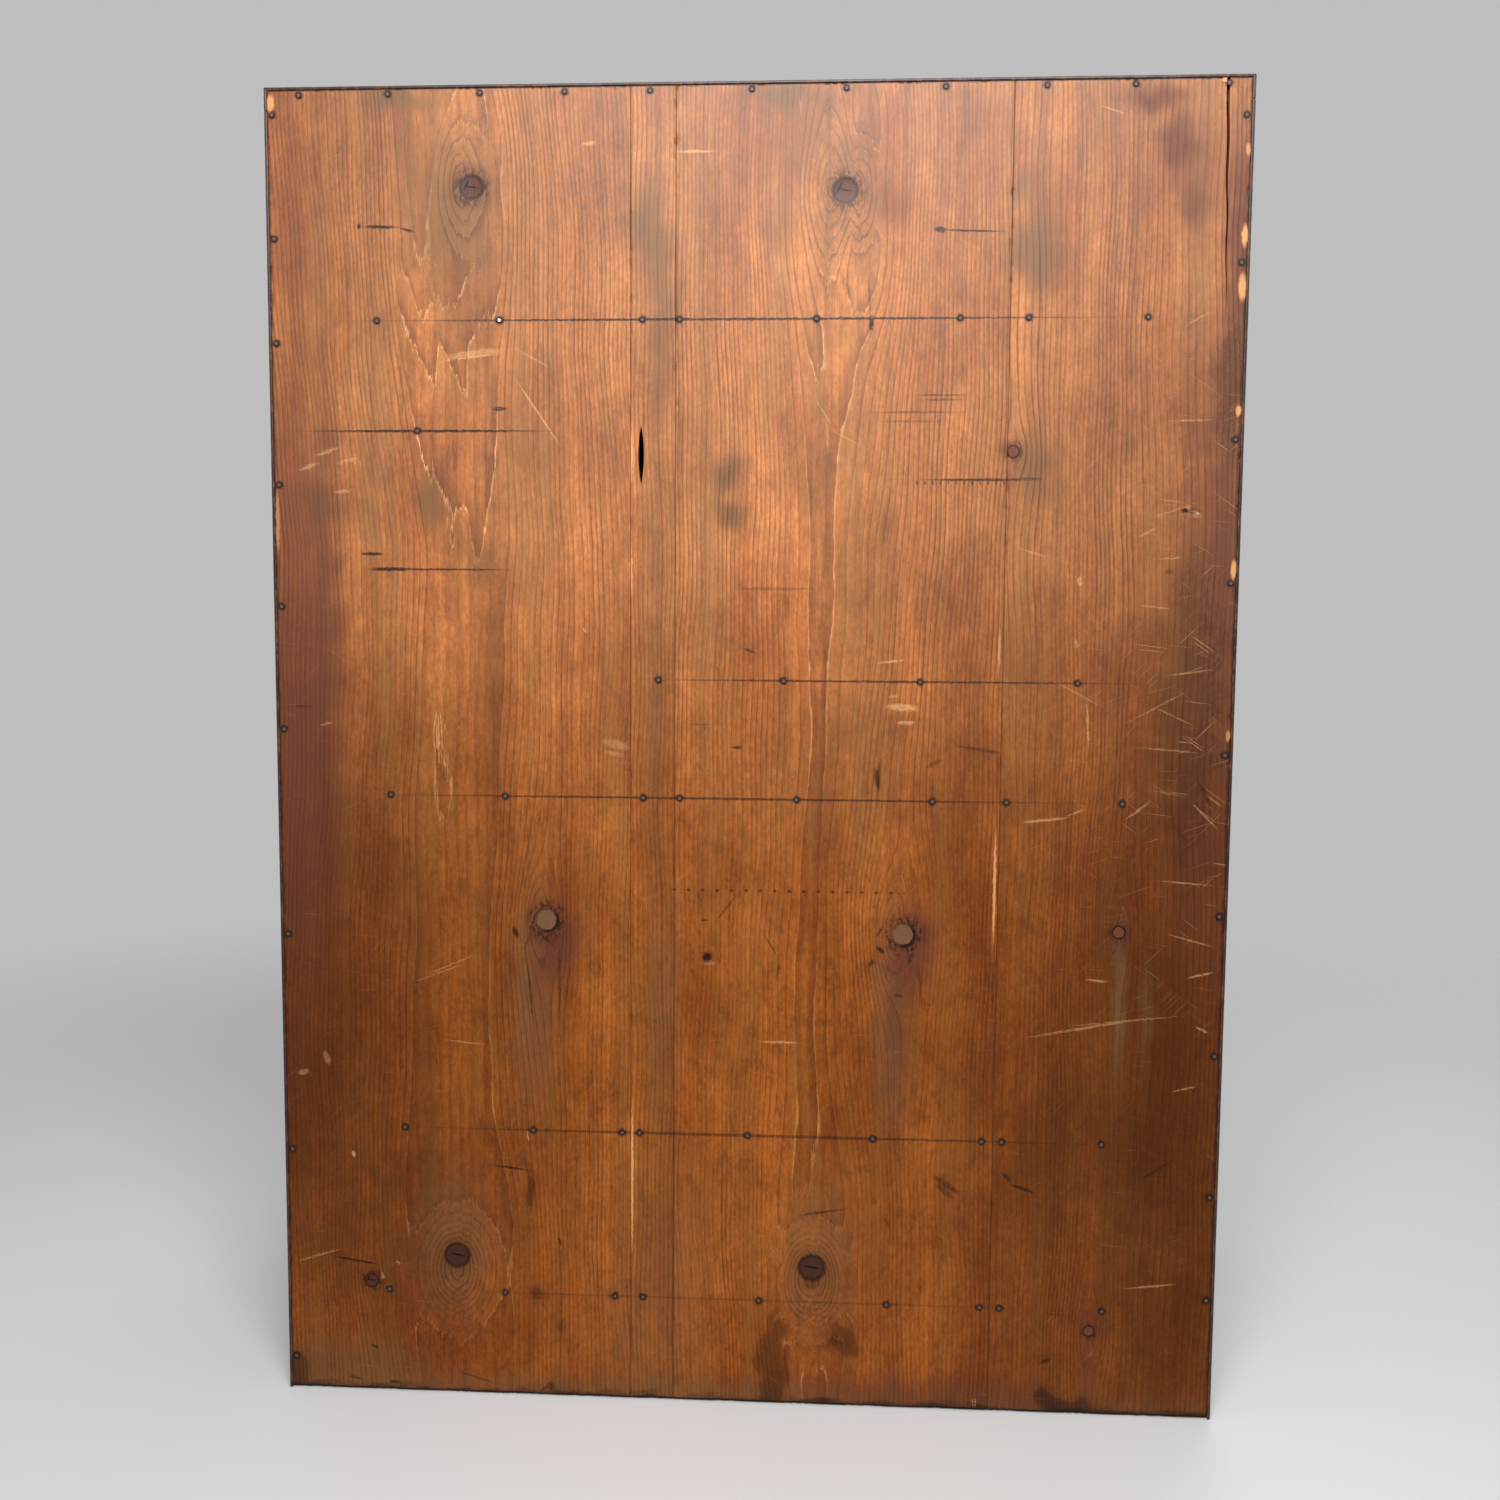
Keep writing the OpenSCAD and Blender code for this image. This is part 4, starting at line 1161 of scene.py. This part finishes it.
def case_material(node, along):
    """Dark lacquer on the faces that show, and bare aged wood inside the case."""
    g = Graph("case_" + node)
    late, tone, fibre, blotch = wood(g, node, along, ring=5.5)
    smudge = g.noise((60, 60, 60), detail=4, roughness=0.65)
    lacquer = g.mix(late * (0.4 + tone * 0.4), rgb(52, 27, 18), rgb(28, 15, 12))
    lacquer = g.bright(lacquer, 0.75 + blotch * 0.5)
    worn = arris(g) * g.step(g.noise((5, 5, 9), detail=4, roughness=0.7), 0.47, 0.62)
    lacquer = g.mix(worn * 0.75, lacquer, rgb(120, 74, 44))
    nick = g.step(g.noise((7, 7, 7), detail=5, roughness=0.75, shift=(33, 7, 5)), 0.70, 0.74)
    lacquer = g.mix(nick * 0.5, lacquer, rgb(112, 72, 46))

    bare = g.mix(late * (0.35 + tone * 0.4), rgb(182, 134, 88), rgb(132, 88, 52))
    bare = g.bright(bare, 0.72 + fibre * 0.22 + blotch * 0.24)
    ragged = (smudge - 0.5) * 10
    within = 1 - g.step(g.math("ABSOLUTE", g.x), side_inner + 0.2, side_inner + 0.6)
    within = within * (1 - g.step(g.z, top_under + 0.1, top_under + 0.5))
    within = within * g.step(g.y + ragged, front_face + 7, front_face + 9)
    colour = g.mix(within, lacquer, bare)
    gloss = 0.30 + smudge * 0.22 + worn * 0.2
    roughness = gloss + within * (0.62 - gloss)
    height = fibre * 0.05 + late * 0.04 + within * (fibre * 0.08) - worn * 0.05
    return g.finish(colour, roughness, height, bump=0.5)


DOOR_STILE = 34.0
DOOR_RAIL = 26.0


def rail_mask(g, node):
    """Where a framed door's rails lie, so that their grain runs across and the stiles' runs up."""
    low, high = (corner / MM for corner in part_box(node))
    middle = (low + high) / 2
    half = (high - low) / 2
    off_x = g.math("ABSOLUTE", g.x - middle.x)
    off_z = g.math("ABSOLUTE", g.z - middle.z)
    in_stile = g.step(off_x, half.x - DOOR_STILE - 0.3, half.x - DOOR_STILE - 0.1)
    in_rail = g.step(off_z, half.z - DOOR_RAIL - 0.3, half.z - DOOR_RAIL - 0.1)
    return in_rail * (1 - in_stile)


def door_frame_material(node):
    """Reddish lacquer over wood, with the grain turned in the rails."""
    g = Graph("frame_" + node)
    rail = rail_mask(g, node)
    up = wood(g, node, "z", ring=3.2, heart=90)
    level = wood(g, node, "x", ring=3.2, heart=90)
    late, tone, fibre, blotch = [a + rail * (b - a) for a, b in zip(up, level)]
    colour = g.mix(late * (0.4 + tone * 0.4), rgb(104, 52, 28), rgb(58, 28, 17))
    colour = g.bright(colour, 0.72 + fibre * 0.2 + blotch * 0.34)
    worn = arris(g) * g.step(g.noise((4, 4, 7), detail=4, roughness=0.7), 0.45, 0.62)
    colour = g.mix(worn * 0.6, colour, rgb(158, 96, 54))
    grip = g.noise((50, 50, 50), detail=4, roughness=0.6)
    roughness = 0.33 + grip * 0.2
    height = fibre * 0.05 + late * 0.05
    return g.finish(colour, roughness, height, bump=0.5)


def panel_material(node, along, ring, heart):
    """Figured wood under thin lacquer, for door panels and drawer fronts."""
    g = Graph("panel_" + node)
    late, tone, fibre, blotch = wood(g, node, along, ring, heart, sway=1.8)
    colour = g.mix(late * (0.5 + tone * 0.4), rgb(136, 72, 34), rgb(70, 34, 18))
    colour = g.bright(colour, 0.7 + fibre * 0.26 + blotch * 0.36)
    pore_size = [0.6, 0.6, 0.6]
    pore_size["xyz".index(along)] = 7.0
    pores = g.step(g.noise(pore_size, detail=2, roughness=0.5, shift=(5, 9, 3)), 0.62, 0.7)
    colour = g.mix(pores * (0.3 + late * 0.4), colour, rgb(38, 18, 12))
    worn = arris(g) * g.step(g.noise((4, 4, 4), detail=4, roughness=0.7), 0.45, 0.62)
    colour = g.mix(worn * 0.55, colour, rgb(176, 112, 64))
    smudge = g.noise((55, 55, 40), detail=4, roughness=0.65)
    dull = g.step(smudge, 0.5, 0.75)
    roughness = 0.28 + smudge * 0.22 + dull * 0.08
    height = fibre * 0.05 - pores * 0.07 + late * 0.04
    return g.finish(colour, roughness, height, bump=0.5)


BOX_WALL = 9.0


def box_material(node):
    """Unfinished softwood of a drawer box: its sides run front to back, its ends across."""
    g = Graph("box_" + node)
    low, high = (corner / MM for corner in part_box(node))
    off_x = g.math("ABSOLUTE", g.x - (low.x + high.x) / 2)
    inner = (high.x - low.x) / 2 - BOX_WALL
    in_side = g.step(off_x, inner - 0.2, inner - 0.05)
    deep = wood(g, node, "y", ring=4.6, heart=70)
    level = wood(g, node, "x", ring=6.0, heart=46)
    late, tone, fibre, blotch = [a + in_side * (b - a) for a, b in zip(level, deep)]
    colour = g.mix(late * (0.35 + tone * 0.35), rgb(206, 164, 112), rgb(158, 112, 66))
    colour = g.bright(colour, 0.74 + fibre * 0.18 + blotch * 0.26)
    grime = arris(g) * g.step(g.noise((9, 9, 9), detail=4, roughness=0.7), 0.4, 0.65)
    colour = g.mix(grime * 0.5, colour, rgb(104, 72, 44))
    stain_mask = g.step(g.noise((46, 46, 30), detail=4, roughness=0.6, shift=(3, 8, 6)), 0.62, 0.74)
    colour = g.mix(stain_mask * 0.3, colour, rgb(122, 86, 54))
    return g.finish(colour, 0.62 + blotch * 0.1, fibre * 0.1 + late * 0.06, bump=0.6)


def iron_material():
    """Old forged iron: dark scale, brown rust in patches, and bright metal where fingers rub it."""
    g = Graph("old_iron")
    scale = g.noise((3.2, 3.2, 3.2), detail=5, roughness=0.65)
    patch = g.step(g.noise((9, 9, 9), detail=4, roughness=0.6, shift=(2, 5, 7)), 0.52, 0.68)
    hammer = g.noise((5.5, 5.5, 5.5), detail=1, roughness=0.3)
    colour = g.mix(scale, rgb(40, 36, 34), rgb(66, 60, 56))
    colour = g.mix(patch * 0.75, colour, rgb(92, 54, 34))
    worn = arris(g) * g.step(scale, 0.4, 0.6)
    colour = g.mix(worn * 0.7, colour, rgb(150, 138, 124))
    roughness = 0.44 + scale * 0.2 + patch * 0.2 - worn * 0.12
    metal = 0.85 - patch * 0.7
    return g.finish(colour, roughness, hammer * 0.25 + scale * 0.06, bump=0.8, Metallic=metal)


def nail_material():
    """Iron nail heads, black round the rim and worn grey-brown in the middle."""
    g = Graph("nail_iron")
    away = g.nearest(NAILS)
    scale = g.noise((0.9, 0.9, 0.9), detail=3, roughness=0.7)
    centre = 1 - g.step(away + (scale - 0.5) * 1.2, 0.8, 1.7)
    colour = g.mix(centre * 0.8, rgb(22, 16, 16), rgb(110, 84, 70))
    polished = 1 - g.step(g.nearest([BRIGHT_NAIL]), 1.5, 3.0)
    colour = g.mix(polished * centre, colour, rgb(226, 214, 200))
    roughness = 0.62 - polished * 0.3
    return g.finish(colour, roughness, scale * 0.2, bump=0.8, Metallic=0.35 + polished * 0.5)


# ---------------------------------------------------------------- finishes of the CAD nodes


def dress(node, material, edge=0.6):
    """Gives a CAD node its material and slightly rounded edges."""
    piece = nodes[node]
    piece.data.materials.clear()
    piece.data.materials.append(material)
    piece.modifiers.new("weld", "WELD").merge_threshold = 0.002 * MM
    flat = piece.modifiers.new("flat", "DECIMATE")
    flat.decimate_type = "DISSOLVE"
    flat.angle_limit = math.radians(0.5)
    rounding = piece.modifiers.new("rounding", "BEVEL")
    rounding.width = edge * MM
    rounding.segments = 2
    rounding.limit_method = "ANGLE"
    rounding.angle_limit = math.radians(40)
    rounding.use_clamp_overlap = True
    normals = piece.modifiers.new("normals", "WEIGHTED_NORMAL")
    normals.keep_sharp = True


UPRIGHTS = ("left_side", "right_side", "partition")
WIDE_BOARDS = ("top_board", "upper_shelf", "middle_shelf", "lower_shelf", "bottom_board")
SHORT_BOARDS = ("door_shelf", "small_shelf_upper", "small_shelf_lower", "front_apron")
for node in UPRIGHTS:
    dress(node, case_material(node, "z"), edge=0.9)
for node in WIDE_BOARDS + SHORT_BOARDS:
    dress(node, case_material(node, "x"), edge=0.9)

iron = iron_material()
for level in ("top", "middle", "lower"):
    for side in ("left", "right"):
        door = f"{level}_door_{side}"
        dress(door + "_frame", door_frame_material(door + "_frame"), edge=0.5)
        dress(door + "_panel", panel_material(door + "_panel", "z", 4.2, 38), edge=0.3)
        dress(door + "_pull", iron, edge=0.3)

for drawer in ("wide_drawer", "small_drawer_1", "small_drawer_2", "base_drawer"):
    dress(drawer + "_front", panel_material(drawer + "_front", "x", 5.5, 34), edge=1.0)
    dress(drawer + "_box", box_material(drawer + "_box"), edge=0.4)
    dress(drawer + "_posts", iron, edge=0.3)
for bail in ("wide_drawer_bail", "small_drawer_1_bail", "small_drawer_2_bail"):
    dress(bail, iron, edge=0.3)
for side in ("left", "right"):
    dress("base_drawer_bail_" + side, iron, edge=0.3)
dress("cupboard_door", panel_material("cupboard_door", "z", 4.2, 38), edge=1.0)
for node in ("cupboard_knob", "hinge_case_leaves", "hinge_door_leaves", "hinge_pins"):
    dress(node, iron, edge=0.2)
nail_iron = nail_material()
for node in ("edge_nails", "shelf_nails"):
    dress(node, nail_iron, edge=0.3)

for seed, board in enumerate(BOARDS):
    piece = build_board(board)
    piece.data.materials.append(cedar_material(board, seed + 1))


# ---------------------------------------------------------------- floor, light and camera


BACKDROP = rgb(190, 190, 190)


def floor():
    """A plain pale floor that fades into the background far from the object."""
    size = 14.0
    mesh = bpy.data.meshes.new("floor")
    corners = [(-size, -size, 0), (size, -size, 0), (size, size, 0), (-size, size, 0)]
    mesh.from_pydata(corners, [], [(0, 1, 2, 3)])
    plane = bpy.data.objects.new("floor", mesh)
    plane.location.z = -0.2 * MM
    bpy.context.scene.collection.objects.link(plane)
    g = Graph("floor")
    cloud = g.noise((900, 900, 900), detail=3)
    grain = g.noise((6, 6, 6), detail=3)
    colour = g.mix(cloud, rgb(214, 214, 214), rgb(226, 226, 225))
    g.finish(colour, 0.55 + cloud * 0.1, grain * 0.05, bump=0.3)
    away = g.math("SQRT", g.x * g.x + g.y * g.y)
    haze = g.add("ShaderNodeEmission")
    haze.inputs["Color"].default_value = BACKDROP
    fade = g.step(away, 850.0, 2100.0)
    g.layer(fade, g.shader.outputs[0], haze.outputs[0])
    mesh.materials.append(g.material)
    plane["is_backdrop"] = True


def soft_box(name, place, target, width, height, power):
    """A rectangular lamp that faces the target and isn't seen itself."""
    lamp = bpy.data.lights.new(name, "AREA")
    lamp.shape = "RECTANGLE"
    lamp.size = width
    lamp.size_y = height
    lamp.energy = power
    holder = bpy.data.objects.new(name, lamp)
    holder.location = place
    aim = Vector(target) - Vector(place)
    holder.rotation_euler = aim.to_track_quat("-Z", "Y").to_euler()
    holder.visible_camera = False
    bpy.context.scene.collection.objects.link(holder)
    return holder


def lights():
    """A window behind, a ceiling, a window in front, and lamps that light only the cabinet."""
    soft_box("rear_window", (-0.08, 1.45, 1.75), (0.0, 0.2, 0.85), 1.1, 0.7, 42)
    soft_box("ceiling", (0.0, 0.3, 3.4), (0.0, 0.0, 0.0), 3.0, 3.0, 22)
    soft_box("front_window", (-1.1, -2.8, 1.9), (0.0, -0.2, 0.6), 2.2, 1.8, 25)
    key = soft_box("front_key", (-1.1, -2.8, 1.9), (0.0, -0.2, 0.6), 2.2, 1.8, 31)
    left = soft_box("left_fill", (2.6, 0.0, 1.5), (0.0, 0.0, 0.6), 1.6, 1.6, 30)
    right = soft_box("right_fill", (-2.6, 0.0, 1.5), (0.0, 0.0, 0.6), 1.6, 1.6, 24)
    lit = bpy.data.collections.new("cabinet_only")
    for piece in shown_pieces():
        lit.objects.link(piece)
    for lamp in (key, left, right):
        lamp.light_linking.receiver_collection = lit


def background():
    """A pale grey studio, a little brighter to the camera than the light it gives."""
    world = bpy.data.worlds.new("studio")
    world.use_nodes = True
    tree = world.node_tree
    glow = tree.nodes["Background"]
    glow.inputs["Color"].default_value = rgb(240, 242, 245)
    glow.inputs["Strength"].default_value = 0.22
    plain = tree.nodes.new("ShaderNodeBackground")
    plain.inputs["Color"].default_value = BACKDROP
    path = tree.nodes.new("ShaderNodeLightPath")
    choice = tree.nodes.new("ShaderNodeMixShader")
    tree.links.new(path.outputs["Is Camera Ray"], choice.inputs[0])
    tree.links.new(glow.outputs[0], choice.inputs[1])
    tree.links.new(plain.outputs[0], choice.inputs[2])
    tree.links.new(choice.outputs[0], tree.nodes["World Output"].inputs["Surface"])
    bpy.context.scene.world = world


def camera():
    """Stands behind the cabinet, as a hand-held camera would, tilted down a little."""
    yaw = math.radians(3.055)
    tilt = math.radians(4.681)
    roll = math.radians(0.389)
    look = Vector((math.sin(yaw) * math.cos(tilt), -math.cos(yaw) * math.cos(tilt), -math.sin(tilt)))
    level = look.cross(Vector((0, 0, 1))).normalized()
    upright = level.cross(look)
    right = level * math.cos(roll) + upright * math.sin(roll)
    up = upright * math.cos(roll) - level * math.sin(roll)
    lens = bpy.data.cameras.new("camera")
    lens.lens = 33.8
    lens.sensor_width = 36.0
    lens.clip_start = 0.01
    holder = bpy.data.objects.new("camera", lens)
    turn = Matrix((right, up, -look)).transposed().to_4x4()
    holder.matrix_world = Matrix.Translation((-0.0621, 1.3006, 0.6301)) @ turn
    bpy.context.scene.collection.objects.link(holder)
    bpy.context.scene.camera = holder


floor()
lights()
background()
camera()
bpy.context.scene.view_settings.view_transform = "Standard"
